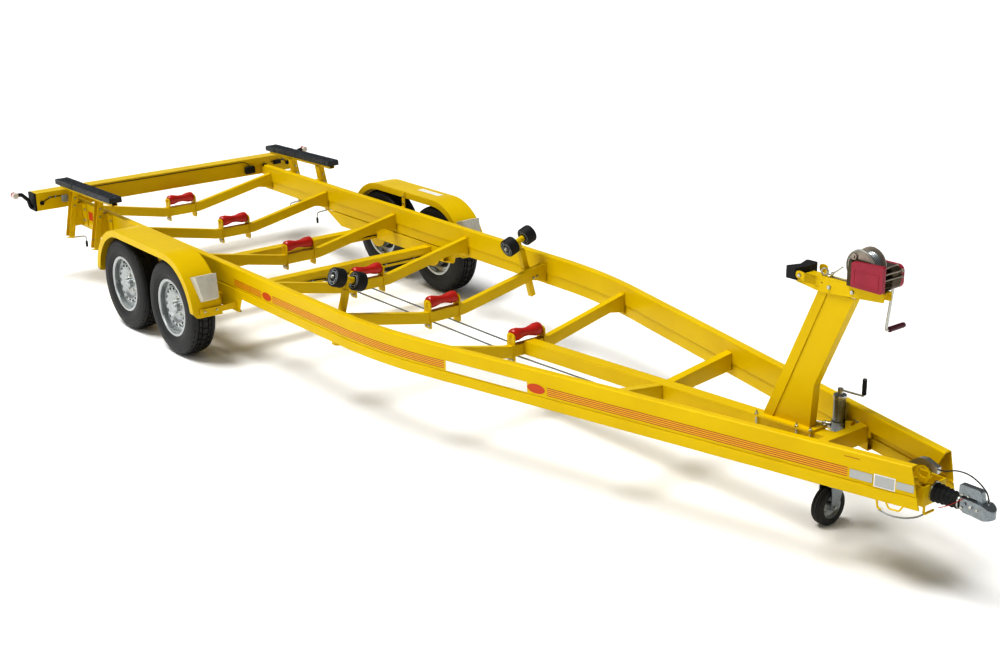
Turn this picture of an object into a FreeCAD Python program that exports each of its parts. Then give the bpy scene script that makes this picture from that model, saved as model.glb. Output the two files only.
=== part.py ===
import FreeCAD
import Part
import math
import os

V = FreeCAD.Vector

# Tandem boat trailer, millimetres. X runs forward to the coupling, Y to the left, Z up.
# Places along X are measured from the rear axle; everything moves to the middle at the end.

# Main beams: folded sheet, tall and narrow, parallel at the rear and drawn to a V in front
beam_half_width = 873.5      # centre line to a beam's outer face
beam_width = 46.0
beam_height = 200.0
beam_top = 632.0             # above the ground
beam_sheet = 5.0
beam_corner = 8.0            # outer fold radius
beam_rear = -1500.0
beam_front = 5855.0          # top corner of the raked front end
beam_front_rake = 45.0       # the bottom corner stands this far ahead of the top one
front_half_width = 141.9     # half distance of the outer faces at the front end
bend_place = 2753.0          # where the two straight outer faces would meet
bend_radius = 3300.0
groove_drop = 142.0          # rolled groove below the top
groove_half = 7.0
groove_depth = 5.0
lip_drop = 124.0             # inner lip's edge below the top
front_lip_drop = 90.0        # same, on the open front stretch
lip_overlap = 18.0
overrun = 20.0               # how far a cutter runs past what it cuts

# Crossbeams: dipped box beams with flared ends
crossbeam_shares = (0.0120, 0.1333, 0.2638, 0.3855, 0.5021, 0.6159)
crossbeam_wide = 42.0
crossbeam_mid_tall = 70.0
crossbeam_end_tall = 118.0
crossbeam_end_drop = 56.0    # below the beam's top
crossbeam_dip = 138.0        # from its ends to its middle
crossbeam_end_top = beam_top - crossbeam_end_drop
crossbeam_mid_top = crossbeam_end_top - crossbeam_dip
crossbeam_flat_half = 150.0
crossbeam_bend = 260.0       # fold radius either side of the middle
flare_length = 120.0
end_plate = 6.0
end_plate_rim = 8.0

# Keel rollers and their brackets
roller_rise = 53.0           # pin above the crossbeam's middle
roller_height = crossbeam_mid_top + roller_rise
roller_back = 15.0           # pin behind the crossbeam's middle
roller_end_radius = 38.0
roller_waist_radius = 26.0
roller_length = 213.0
roller_pin = 8.0
cheek_sheet = 8.0
cheek_wide = 70.0
cheek_nose = 17.0            # cheek above the pin
cheek_corner = 22.0
cheek_tail_drop = 42.0       # below the crossbeam
bolt_reach = 10.0
bolt_radius = 13.0
side_play = 3.0
running_gap = 0.05
seat_gap = 0.3

# Spine tube from the last crossbeam to the front crossmember
spine_wide = 80.0
spine_tall = 80.0
spine_rise = 12.0            # above the last crossbeam's middle
spine_rear_top = crossbeam_mid_top + spine_rise
member_wide = 50.0
mid_member_back = 1675.0     # behind the beams' front end
mid_member_drop = 64.0       # below the beam's top
mid_member_end_tall = 100.0
front_member_back = 543.0
front_member_drop = 66.0
front_member_tall = 86.0
mid_member_place = beam_front - mid_member_back
mid_member_end_top = beam_top - mid_member_drop
front_member_place = beam_front - front_member_back
front_member_top = beam_top - front_member_drop

# Wheels: 185 R 14 light truck size
wheel_gap = 70.7             # between the two tyres on a side
wheel_stand_off = 203.3      # tyre's middle outboard of the beam
track_half = beam_half_width + wheel_stand_off
tyre_radius = 325.0
axle_spacing = 2 * tyre_radius + wheel_gap
tyre_half = 93.0
tyre_crown_half = 66.0
rim_radius = 195.0
rim_half = 78.0
bead_radius = 178.0
well_radius = 150.0
rim_sheet = 5.0
disc_offset = 30.0           # disc face outboard of the tyre's middle
disc_bulge = 22.0
vent_ring = 128.0
vent_count = 16
vent_long = 24.0
vent_wide = 15.0
hub_radius = 34.0
hub_cap_length = 34.0
drum_radius = 118.0
drum_face = 24.0             # drum's back lies this far inboard of the tyre's edge
stub_radius = 20.0

# Axles with rubber suspension and trailing arms
tube_lead = 150.0            # tube ahead of the wheel centre
tube_drop = 54.0             # tube's middle below the beam
tube_square = 80.0
tube_height = beam_top - beam_height - tube_drop
arm_thick = 34.0
arm_pivot_radius = 58.0
arm_end_radius = 36.0
backing_sheet = 5.0
backing_gap = 3.0

# Axle carriers under the main beams
carrier_rear = -530.0
carrier_rear_low = -310.0
carrier_front = 1172.0
carrier_front_low = 1130.0
carrier_cut = 130.0
carrier_tall = 99.0
carrier_bottom = beam_top - beam_height - carrier_tall
carrier_sheet = 5.0

# Mudguards
guard_clearance = 57.0       # outside the tyre
guard_radius = tyre_radius + guard_clearance
guard_sheet = 3.0
guard_skirt = 48.0
guard_inboard = 98.8         # either side of the tyre's middle
guard_outboard = 107.2
guard_end_rise = 15.0        # its ends above the axles
guard_inner = track_half - guard_inboard
guard_outer = track_half + guard_outboard
guard_rear_low = tyre_radius + guard_end_rise
guard_front_low = tyre_radius + guard_end_rise
guard_corner = 45.0
guard_corner_steps = 5
stay_wide = 40.0
stay_sheet = 6.0
chock_long = 175.0
chock_wide = 150.0
chock_narrow = 112.0
chock_thick = 75.0
chock_toe = 44.0
chock_angle = 30.5           # degrees above the wheel centre, seen from the side

# Side posts with twin hull rollers
post_square = 36.0
post_inboard = 105.5         # foot inside the beam's outer face
post_drop = 80.0             # foot below the beam
post_low_y = beam_half_width - post_inboard
post_low = beam_top - beam_height - post_drop
post_lean = 15.5             # degrees inward
post_long = 345.0
hull_roller_radius = 59.0
hull_roller_long = 68.0
hull_roller_gap = 84.0       # between the two rollers
hull_axle_tilt = 20.0
hull_axle_radius = 10.0
hull_axle_rise = 62.0        # above the post's end
post_stand_off = 14.0        # post behind the crossbeam's rear face
post_clamp_tall = 70.0
post_clamp_sheet = 8.0

# Rear pads
near_leg_ahead = 170.0       # legs ahead of the beams' rear end
near_leg_pitch = 465.0
far_leg_ahead = 320.0
far_leg_pitch = 428.0
rail_behind = 21.0
rail_long = 952.0
rail_stand_off = 54.5        # rail's middle outboard of the beam
near_leg_places = (beam_rear + near_leg_ahead, beam_rear + near_leg_ahead + near_leg_pitch)
far_leg_places = (beam_rear + far_leg_ahead, beam_rear + far_leg_ahead + far_leg_pitch)
rail_rear = beam_rear - rail_behind
rail_y = beam_half_width + rail_stand_off
rail_wide = 44.0
rail_tall = 26.0
rail_rise = 86.0             # rail's rear end above the beam
rail_base = beam_top + rail_rise
rail_pitch = 1.3             # degrees, rising forward
rail_sheet = 4.0
leg_wide = 64.0
leg_deep = 44.0
leg_sheet = 5.0
leg_lean = 11.0              # degrees, foot outward
leg_inboard = 7.0            # leg's middle inside the rail's
leg_drop = 82.0              # foot below the beam
leg_top_y = rail_y - leg_inboard
leg_bottom = beam_top - beam_height - leg_drop
leg_clamp_reach = 70.0       # clamp plate ahead of the leg
leg_clamp_sheet = 8.0
leg_clamp_rise = 20.0        # plate's lower edge above the beam's
leg_clamp_low = beam_top - beam_height + leg_clamp_rise
pad_wide = 96.0
pad_tall = 40.0
pad_split_share = 0.31
pad_gap = 6.0
pad_overhang = 24.0
pad_rib_count = 3
pad_rib = 5.0

# Rear light bar
bar_behind = 164.0           # rear face behind the beams
bar_deep = 119.0
bar_tall = 137.0
bar_drop = 79.0              # underside below the beam's top
bar_overhang = 268.5         # outboard of the beam
bar_rear = beam_rear - bar_behind
bar_bottom = beam_top - bar_drop
bar_half_long = beam_half_width + bar_overhang
bar_sheet = 4.0
bar_lip = 46.0
bar_arm_wide = 60.0
marker_base_sheet = 14.0
marker_bend_out = 40.0       # arm's bends outboard of the bar and above its underside
marker_bend_rise = 83.0
marker_crest_out = 90.0
marker_crest_rise = 135.0
marker_end_out = 118.0
marker_bend_y = bar_half_long + marker_bend_out
marker_bend_height = bar_bottom + marker_bend_rise
marker_crest_y = bar_half_long + marker_crest_out
marker_crest_height = bar_bottom + marker_crest_rise
marker_end_y = bar_half_long + marker_end_out
marker_start_drop = 12.0     # arm's middle line above the bar's underside
marker_arm_radius = 14.0
marker_lamp_radius = 24.0
marker_lamp_long = 26.0

# Winch post
winch_back = 421.0           # rear bottom corner of the post behind the front crossmember
winch_lean = 23.06            # degrees from upright
winch_post_deep = 46.0       # across
winch_post_sheet = 6.0
winch_post_rise = 630.0      # above the beam's top
winch_knee_rise = 158.0
winch_foot_back = 130.0      # front bottom corner behind the front crossmember
winch_knee_ahead = 13.0
winch_rear = front_member_place - winch_back
winch_foot_front = front_member_place - winch_foot_back
winch_knee_x = winch_foot_front + winch_knee_ahead
winch_post_top = beam_top + winch_post_rise
winch_knee = beam_top + winch_knee_rise
joggle = 5.0
joggle_from_rear = 52.0
foot_plate_wide = 120.0
foot_plate_sheet = 12.0
head_ahead = 154.0           # rear end ahead of the post's rear foot
head_long = 515.0
head_rise = 64.0             # above the post
head_front_tall = 42.0
head_tall = 72.0
head_sheet = 5.0
head_rear = winch_rear + head_ahead
head_front = head_rear + head_long
head_top = winch_post_top + head_rise
head_front_low = head_top - head_front_tall
head_low = head_top - head_tall
bow_stop_ahead = 27.0        # block's middle ahead of the head's rear end
bow_stop_half = 78.0
bow_stop_tall = 56.0
bow_stop_deep = 84.0
bow_stop_drop = 29.0         # its seat below the head's top
bow_stop_place = head_rear + bow_stop_ahead
bow_stop_base = head_top - bow_stop_drop

# Winch
drum_back = 128.0            # drum's pin behind the head's front end
drum_rise = 98.0             # above the head's top
drum_place = head_front - drum_back
drum_height = head_top + drum_rise
drum_flange = 80.0
drum_core = 30.0
drum_half = 38.0
drum_sheet = 3.0
drum_pin = 10.0
frame_plate_gap = 2.0
winch_frame_sheet = 5.0
winch_frame_behind = 67.0    # frame's rear edge behind the pin
winch_frame_long = 175.0
winch_frame_tall = 130.0
winch_frame_rear = drum_place - winch_frame_behind
gear_behind = 20.0
gear_long = 132.0
gear_wide = 62.0
gear_drop = 7.0              # case's underside below the head's top
gear_tall = 108.0
gear_rear = drum_place - gear_behind
gear_base = head_top - gear_drop
gear_cap = 22.0
gear_corner = 30.0
cover_behind = 28.0
cover_long = 172.0
cover_rise = 8.0
cover_rear = drum_place - cover_behind
cover_base = head_top + cover_rise
cover_rear_tall = 116.0
cover_front_tall = 124.0
cover_thick = 24.0
crank_ahead = 53.0           # crank's shaft ahead of the drum's pin
crank_drop = 38.0            # and below it
crank_place = drum_place + crank_ahead
crank_height = drum_height - crank_drop
crank_arm = 295.0
crank_lean = 32.0
crank_rod = 7.0
grip_radius = 12.0
grip_long = 110.0

# Jockey wheel, clamped inside the left beam, turned sideways
jockey_back = 147.0          # behind the front crossmember
jockey_inboard = 43.373       # inside the beam's inner face
jockey_tube_radius = 30.0
jockey_tube_rise = 40.0      # above the beam's top
jockey_tube_long = 220.0
jockey_x = front_member_place - jockey_back
jockey_tube_top = beam_top + jockey_tube_rise
jockey_tube_bottom = jockey_tube_top - jockey_tube_long
jockey_leg_radius = 25.0
jockey_trail = 42.0
jockey_wheel_radius = 101.0
jockey_wheel_half = 32.0
jockey_rim_radius = 62.0
jockey_axle = 8.0
fork_sheet = 6.0
fork_gap = 4.0
jockey_stem_radius = 14.0
jockey_crank_reach = 140.0
jockey_crank_rise = 30.0
jockey_grip_long = 76.0

# Coupling
housing_long = 445.0
housing_ahead = 30.0         # ahead of the beams' front end
housing_half = 80.0
housing_drop = 2.0           # below the beam
housing_tall = 94.0
housing_sheet = 8.0
shaft_rise = 52.0
housing_front = beam_front + housing_ahead
housing_rear = housing_front - housing_long
housing_bottom = beam_top - beam_height - housing_drop
housing_top = housing_bottom + housing_tall
shaft_height = housing_bottom + shaft_rise
shaft_radius = 25.0
gaiter_radius = 47.0
gaiter_front_radius = 37.0
gaiter_long = 140.0
gaiter_folds = 6
head_reach = 305.0           # tip ahead of the housing
head_tip = housing_front + head_reach
ball_radius = 25.0
head_nose_radius = 36.0
head_half_tall = 33.0
head_neck_half = 27.0
head_neck_long = 60.0
handle_long = 108.0
handle_half = 15.0
handle_rise = 42.0           # above the shaft
handle_tall = 47.0
handle_base = shaft_height + handle_rise
handle_top = handle_base + handle_tall
handle_sheet = 4.0
eye_radius = 6.0
eye_rise = 42.0
sector_back = 37.0           # behind the housing's front
sector_y = 36.0
sector_rise = 52.0           # above the housing
eye_top = shaft_height + eye_rise
sector_x = housing_front - sector_back
sector_height = housing_top + sector_rise
sector_radius = 41.0
sector_hole = 24.0
sector_sheet = 10.0
sector_teeth = 14
sector_tooth = 5.0
lever_y = 20.0
lever_wide = 26.0
lever_tall = 30.0
lever_sheet = 3.0
lever_back = 185.0           # lever's corners from the housing's front and top
lever_start_rise = 28.0
lever_knee_back = 63.0
lever_knee_rise = 116.0
lever_crest_back = 27.0
lever_crest_rise = 121.0
lever_tip_ahead = 37.0
lever_tip_rise = 98.0
lever_rear = (housing_front - lever_back, housing_top + lever_start_rise)
lever_knee = (housing_front - lever_knee_back, housing_top + lever_knee_rise)
lever_crest = (housing_front - lever_crest_back, housing_top + lever_crest_rise)
lever_tip = (housing_front + lever_tip_ahead, housing_top + lever_tip_rise)
rod_radius = 5.0
rod_y = 60.0
hook_sheet = 5.0
hook_back = 152.0            # behind the beams' front end
hook_long = 34.0
hook_drop = 40.0
loop_back = 105.0
hook_place = beam_front - hook_back
loop_place = beam_front - loop_back
loop_long = 78.0
loop_drop = 27.0
loop_rod = 4.0
hanger_back = 13.0           # behind the housing's front
hanger_x = housing_front - hanger_back
hanger_y = 52.0
hanger_drop = 48.0
hanger_rod = 6.0
hanger_foot = 70.0
cable_radius = 3.0
lead_radius = 4.0

# Worked-out places
beam_bottom = beam_top - beam_height
toe_angle = math.degrees(math.atan2(beam_half_width - front_half_width, beam_front - bend_place))
bend_tangent = bend_radius * math.tan(math.radians(toe_angle) / 2)
bend_start = bend_place - bend_tangent
frame_length = beam_front - beam_rear
beam_inner = beam_half_width - beam_width
crossbeam_places = [beam_rear + share * frame_length for share in crossbeam_shares]
head_centre = head_tip - head_nose_radius
head_half = winch_post_deep / 2 + seat_gap + head_sheet
middle = (bar_rear + head_tip) / 2
axle_places = {"rear": 0.0, "front": axle_spacing}
sides = {"left": 1, "right": -1}


def corner_edges(points, radii, closed=True):
    """Edges of a polygon whose corners are rounded by tangent arcs."""
    count = len(points)
    starts, ends, arcs = [], [], []
    for i, point in enumerate(points):
        radius = radii[i]
        if radius == 0 or (not closed and i in (0, count - 1)):
            starts.append(point)
            ends.append(point)
            arcs.append(None)
            continue
        back = (points[i - 1] - point).normalize()
        ahead = (points[(i + 1) % count] - point).normalize()
        half = back.getAngle(ahead) / 2
        reach = radius / math.tan(half)
        middle_way = (back + ahead).normalize()
        crown = point + middle_way * (radius / math.sin(half) - radius)
        starts.append(point + back * reach)
        ends.append(point + ahead * reach)
        arcs.append(crown)
    edges = []
    for i in range(count):
        if arcs[i] is not None:
            edges.append(Part.Arc(starts[i], arcs[i], ends[i]).toShape())
        if i == count - 1 and not closed:
            break
        following = (i + 1) % count
        if ends[i].distanceToPoint(starts[following]) > 1e-6:
            edges.append(Part.LineSegment(ends[i], starts[following]).toShape())
    return edges


def rounded_face(points, radii):
    if not isinstance(radii, (list, tuple)):
        radii = [radii] * len(points)
    return Part.Face(Part.Wire(corner_edges(points, radii)))


def box(x0, x1, y0, y1, z0, z1):
    return Part.makeBox(x1 - x0, y1 - y0, z1 - z0, V(x0, y0, z0))


def side_prism(outline, y0, y1, radii=0):
    """Outline of (x, z) pairs drawn out along Y."""
    face = rounded_face([V(x, y0, z) for x, z in outline], radii)
    return face.extrude(V(0, y1 - y0, 0))


def cross_prism(outline, x0, x1, radii=0):
    """Outline of (y, z) pairs drawn out along X."""
    face = rounded_face([V(x0, y, z) for y, z in outline], radii)
    return face.extrude(V(x1 - x0, 0, 0))


def plan_prism(outline, z0, z1, radii=0):
    """Outline of (x, y) pairs drawn out along Z."""
    face = rounded_face([V(x, y, z0) for x, y in outline], radii)
    return face.extrude(V(0, 0, z1 - z0))


def bar_y(x, z, radius, y0, y1):
    return Part.makeCylinder(radius, y1 - y0, V(x, y0, z), V(0, 1, 0))


def bar_x(y, z, radius, x0, x1):
    return Part.makeCylinder(radius, x1 - x0, V(x0, y, z), V(1, 0, 0))


def turned(profile, centre, axis, start):
    """Solid of revolution: (along, radius) pairs about an axis line through centre."""
    points = [centre + axis * along + start * radius for along, radius in profile]
    face = Part.Face(Part.makePolygon(points + [points[0]]))
    return face.revolve(centre, axis, 360)


def mirrored(shape):
    return shape.mirror(V(0, 0, 0), V(0, 1, 0))


def one(shapes):
    """Fuse shapes into one clean solid."""
    first = shapes[0].fuse(shapes[1:]) if len(shapes) > 1 else shapes[0]
    return first.removeSplitter()


def rod(points, radius, bend):
    """Round rod or cable along straight runs with tangent arcs."""
    radii = bend if isinstance(bend, (list, tuple)) else [bend] * len(points)
    path = Part.Wire(corner_edges(points, radii, closed=False))
    start = (points[1] - points[0]).normalize()
    ring = Part.Wire(Part.makeCircle(radius, points[0], start))
    return path.makePipeShell([ring], True, False)


def outer_face_y(x):
    """Outer face of a beam on its straight front stretch, at X."""
    return beam_half_width - (x - bend_place) * math.tan(math.radians(toe_angle))


def inner_face_y(x):
    if x < bend_start:
        return beam_inner
    if x > bend_place + bend_tangent:
        return outer_face_y(x) - beam_width / math.cos(math.radians(toe_angle))
    reach = bend_radius - beam_width
    run = x - bend_start
    return beam_half_width - bend_radius + math.sqrt(reach * reach - run * run)


jockey_y = inner_face_y(jockey_x) - jockey_inboard


# Main beams

def beam_run(outline, radii):
    """Draw a section (depth, z) along the rear straight, the bend and the front straight."""
    face = rounded_face([V(beam_rear, beam_half_width - depth, z) for depth, z in outline], radii)
    straight = face.extrude(V(bend_start - beam_rear, 0, 0))
    hinge = V(bend_start, beam_half_width - bend_radius, 0)
    face_at_bend = face.translated(V(bend_start - beam_rear, 0, 0))
    bend = face_at_bend.revolve(hinge, V(0, 0, 1), -toe_angle)
    turned_face = face_at_bend.copy()
    turned_face.rotate(hinge, V(0, 0, 1), -toe_angle)
    angle = math.radians(toe_angle)
    reach = (beam_front - bend_place) / math.cos(angle) - bend_tangent + 4 * beam_width
    front = turned_face.extrude(V(math.cos(angle) * reach, -math.sin(angle) * reach, 0))
    return one([straight, bend, front])


def rake_cut():
    slope = beam_front_rake / beam_height
    low = beam_bottom - overrun
    high = beam_top + overrun
    return side_prism([(beam_front + (beam_top - low) * slope, low),
                       (beam_front + beam_height + overrun * slope, low),
                       (beam_front + beam_height + overrun * slope, high),
                       (beam_front + (beam_top - high) * slope, high)],
                      -overrun * 2, beam_half_width)


def outer_shell():
    """Outer web with its rolled groove, top flange and down-turned inner lip."""
    t = beam_sheet
    groove = beam_top - groove_drop
    lip = beam_top - lip_drop
    outline = [(0, beam_bottom), (0, groove - groove_half), (groove_depth, groove),
               (0, groove + groove_half), (0, beam_top), (beam_width, beam_top),
               (beam_width, lip), (beam_width - t, lip), (beam_width - t, beam_top - t),
               (t, beam_top - t), (t, groove + groove_half), (t + groove_depth, groove),
               (t, groove - groove_half), (t, beam_bottom)]
    radii = [0, 0, 0, 0, beam_corner, beam_corner, 0, 0,
             beam_corner - t, beam_corner - t, 0, 0, 0, 0]
    shell = beam_run(outline, radii)
    shell = shell.cut(rake_cut())
    start = front_member_place + member_wide
    front_lip = beam_top - front_lip_drop
    relief = side_prism([(start, lip - overrun), (beam_front + beam_height, lip - overrun),
                         (beam_front + beam_height, beam_top - beam_corner),
                         (beam_front + beam_front_rake - beam_width, beam_top - beam_corner),
                         (beam_front - beam_width, front_lip), (start, front_lip)],
                        -overrun, outer_face_y(start) - beam_width + t)
    # only the lip is cut, so the cutter is bounded by a plane just inside it
    angle = math.radians(toe_angle)
    inside = outer_face_y(start) - (beam_width - t - seat_gap) / math.cos(angle)
    far = start + 2 * beam_height + (beam_front - start)
    slab = plan_prism([(start - overrun, -overrun), (far, -overrun),
                       (far, inside - (far - start) * math.tan(angle)),
                       (start - overrun, inside + overrun * math.tan(angle))],
                      beam_bottom, beam_top)
    return shell.cut(relief.common(slab))


def lower_shell():
    """Inner lower web lapped behind the lip, and the bottom flange."""
    t = beam_sheet
    top = beam_top - lip_drop + lip_overlap
    outline = [(t, beam_bottom), (beam_width - t, beam_bottom), (beam_width - t, top),
               (beam_width - 2 * t, top), (beam_width - 2 * t, beam_bottom + t),
               (t, beam_bottom + t)]
    radii = [0, beam_corner, 0, 0, beam_corner - t, 0]
    shell = beam_run(outline, radii)
    end = front_member_place + member_wide / 2
    return shell.cut(box(end, beam_front + 2 * beam_height, -beam_half_width, beam_half_width,
                         beam_bottom - overrun, beam_top))


# Crossbeams

def beam_space():
    """Everything from the beam's inner face outward, to trim members that end on it."""
    low, high = beam_bottom - 4 * overrun, beam_top + overrun
    wall = beam_run([(-overrun, low), (beam_width, low), (beam_width, high), (-overrun, high)], 0)
    return wall


def end_strip():
    """Thin strip along the inner face, from which the crossbeams' end plates are taken."""
    low, high = crossbeam_end_top - crossbeam_end_tall - end_plate_rim, crossbeam_end_top + end_plate_rim
    inner = beam_width + end_plate
    return beam_run([(beam_width, low), (inner, low), (inner, high), (beam_width, high)], 0)


def dipped_beam(x, wall, strip):
    """V-shaped box beam between the inner faces, with deeper ends and end plates."""
    half_wide = crossbeam_wide / 2
    reach = inner_face_y(x) + overrun
    knee = reach - overrun - flare_length
    flat = crossbeam_flat_half
    slope = (crossbeam_end_top - crossbeam_mid_top) / (reach - overrun - flat)
    knee_low = crossbeam_mid_top + (knee - flat) * slope - crossbeam_mid_tall
    end_top = crossbeam_mid_top + (reach - flat) * slope
    outline = [(0, crossbeam_mid_top), (flat, crossbeam_mid_top), (reach, end_top),
               (reach, crossbeam_end_top - crossbeam_end_tall),
               (reach - overrun, crossbeam_end_top - crossbeam_end_tall), (knee, knee_low),
               (flat, crossbeam_mid_top - crossbeam_mid_tall), (0, crossbeam_mid_top - crossbeam_mid_tall)]
    half = cross_prism(outline, x - half_wide, x + half_wide, [0, crossbeam_bend, 0, 0, 0, 0, crossbeam_bend, 0])
    half = half.cut(wall)
    rim = half_wide + end_plate_rim
    plate = strip.common(box(x - rim, x + rim, 0, beam_half_width, 0, beam_top))
    half = one([half, plate])
    return one([half, mirrored(half)])


def keel_crossbeams(wall):
    strip = end_strip()
    return [dipped_beam(x, wall, strip) for x in crossbeam_places]


def spine_top(x):
    rear = crossbeam_places[-1] + crossbeam_wide / 2
    share = (x - rear) / (front_member_place - member_wide / 2 - rear)
    return spine_rear_top + share * (front_member_top - spine_rear_top)


def spine_tube():
    rear = crossbeam_places[-1] + crossbeam_wide / 2
    front = front_member_place - member_wide / 2
    outline = [(rear, spine_rear_top), (front, front_member_top),
               (front, front_member_top - spine_tall), (rear, spine_rear_top - spine_tall)]
    return side_prism(outline, -spine_wide / 2, spine_wide / 2)


def frame_crossmembers(wall):
    """Two halves either side of the spine, and the straight member under the post's front."""
    x = mid_member_place
    half = member_wide / 2
    low_edge = spine_top(x - half)
    reach = inner_face_y(x - half)
    outline = [(spine_wide / 2, low_edge), (reach, mid_member_end_top),
               (reach, mid_member_end_top - mid_member_end_tall), (spine_wide / 2, low_edge - spine_tall)]
    left = cross_prism(outline, x - half, x + half).cut(wall)
    x = front_member_place
    reach = inner_face_y(x - half)
    front = box(x - half, x + half, -reach, reach, front_member_top - front_member_tall,
                front_member_top).cut(wall).cut(mirrored(wall))
    return [left, mirrored(left), front]


# Keel rollers

def keel_roller(x):
    half = roller_length / 2
    bore = roller_pin + running_gap
    taper = half * 0.62
    waist = half * 0.16
    profile = [(-half, bore), (-half, roller_end_radius * 0.86), (-half * 0.9, roller_end_radius),
               (-taper, roller_end_radius), (-waist, roller_waist_radius),
               (waist, roller_waist_radius), (taper, roller_end_radius),
               (half * 0.9, roller_end_radius), (half, roller_end_radius * 0.86), (half, bore)]
    return turned(profile, V(x - roller_back, 0, roller_height), V(0, 1, 0), V(0, 0, 1))


def cheek(x, y0, y1):
    """Side plate with a rounded head round the pin and a window for the crossbeam."""
    half = crossbeam_wide / 2
    middle_x = x - roller_back / 2
    rear, front = middle_x - cheek_wide / 2, middle_x + cheek_wide / 2
    low = crossbeam_mid_top - crossbeam_mid_tall - cheek_tail_drop
    top = roller_height + cheek_nose
    corner = cheek_corner
    plate = side_prism([(rear, top), (front, top), (front, low), (rear, low)], y0, y1,
                       [corner, corner, corner / 2, corner / 2])
    return plate.cut(box(x - half, x + half, y0 - overrun, y1 + overrun,
                         crossbeam_mid_top - crossbeam_mid_tall, crossbeam_mid_top))


def roller_brackets():
    """Pairs of side plates with the pin through them and its bolt heads outside."""
    out = []
    for x in crossbeam_places:
        inner = roller_length / 2 + side_play
        outer = inner + cheek_sheet
        place = x - roller_back
        parts = [cheek(x, inner, outer), cheek(x, -outer, -inner),
                 bar_y(place, roller_height, roller_pin, -outer - bolt_reach, outer + bolt_reach)]
        for y in (outer, -outer - bolt_reach):
            parts.append(bar_y(place, roller_height, bolt_radius, y, y + bolt_reach))
        out.append(one(parts))
    return out


# Wheels

def wheel_frame(x, side):
    return V(x, side * track_half, tyre_radius), V(0, side, 0)


def tyre(x, side):
    centre, axis = wheel_frame(x, side)
    bead = bead_radius + seat_gap
    seat = rim_half - rim_sheet - seat_gap
    half = [(seat, bead), (seat, rim_radius), (tyre_half * 0.93, rim_radius * 1.09),
            (tyre_half, tyre_radius * 0.76), (tyre_half * 0.96, tyre_radius * 0.88),
            (tyre_crown_half * 1.2, tyre_radius * 0.965), (tyre_crown_half, tyre_radius * 0.99),
            (tyre_crown_half * 0.5, tyre_radius)]
    profile = half + [(-s, r) for s, r in reversed(half)]
    return turned(profile, centre, axis, V(0, 0, 1))


def wheel_section(points, centre, axis, up):
    return Part.Face(Part.makePolygon([centre + axis * along + up * radius
                                       for along, radius in points + [points[0]]]))


def rim(x, side):
    """Rolled barrel, bulged disc with vent slots, hub with its cap, and brake drum."""
    centre, axis = wheel_frame(x, side)
    seam = math.pi / vent_count
    up = V(math.sin(seam), 0, math.cos(seam))
    t = rim_sheet
    half_outer = [(rim_half, rim_radius), (rim_half - t, rim_radius), (rim_half - t, bead_radius),
                  (rim_half * 0.5, bead_radius), (rim_half * 0.36, well_radius)]
    half_inner = [(rim_half * 0.36 - t, well_radius - t), (rim_half * 0.5 - t, bead_radius - t),
                  (rim_half - t, bead_radius - t), (rim_half, bead_radius)]
    outer = half_outer + [(-s, r) for s, r in reversed(half_outer)]
    inner = [(-s, r) for s, r in reversed(half_inner)] + half_inner
    face = disc_offset
    crest = disc_offset + disc_bulge
    join = well_radius - t / 2
    disc = [(face - t * 2, join), (crest - t, vent_ring * 1.06), (crest, vent_ring * 0.98),
            (crest - t * 0.6, vent_ring * 0.88), (face + t, vent_ring * 0.72), (face, hub_radius * 2.3),
            (face, hub_radius * 0.9), (face - t, hub_radius * 0.9), (face - t, vent_ring * 0.68),
            (crest - t * 2, vent_ring * 0.89), (crest - t * 1.2, vent_ring * 0.97),
            (crest - t * 2, vent_ring * 1.02), (face - t * 3, join - t)]
    back = -tyre_half - drum_face
    bore = stub_radius + running_gap
    hub = [(back + t, bore), (back + t, drum_radius * 0.5), (back + 2 * t, drum_radius * 0.5),
           (back + 2 * t, drum_radius), (0, drum_radius), (0, hub_radius * 2),
           (face - t / 2, hub_radius * 1.9), (face - t / 2, hub_radius),
           (face + hub_cap_length * 0.7, hub_radius * 0.94),
           (face + hub_cap_length, hub_radius * 0.7), (face + hub_cap_length, 0),
           (face + t, 0), (face + t, bore)]
    faces = [wheel_section(points, centre, axis, up) for points in (outer + inner, disc, hub)]
    section = faces[0].fuse(faces[1:]).removeSplitter()
    wheel = section.revolve(centre, axis, 360).Solids[0]
    slots = []
    for i in range(vent_count):
        slot = box(-vent_long / 2, vent_long / 2, 0, crest * 2, 0, vent_wide)
        slot.translate(V(0, face - t * 3, vent_ring * 0.91))
        if side < 0:
            slot = mirrored(slot)
        slot.rotate(V(0, 0, 0), V(0, 1, 0), i * 360 / vent_count)
        slot.translate(centre)
        slots.append(slot)
    return wheel.cut(slots)


# Axles

def axle_tube(x):
    """Square tube across, through both carriers."""
    half = tube_square / 2
    end = beam_half_width + carrier_sheet * 4
    place = x + tube_lead
    return box(place - half, place + half, -end, end, tube_height - half, tube_height + half)


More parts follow.
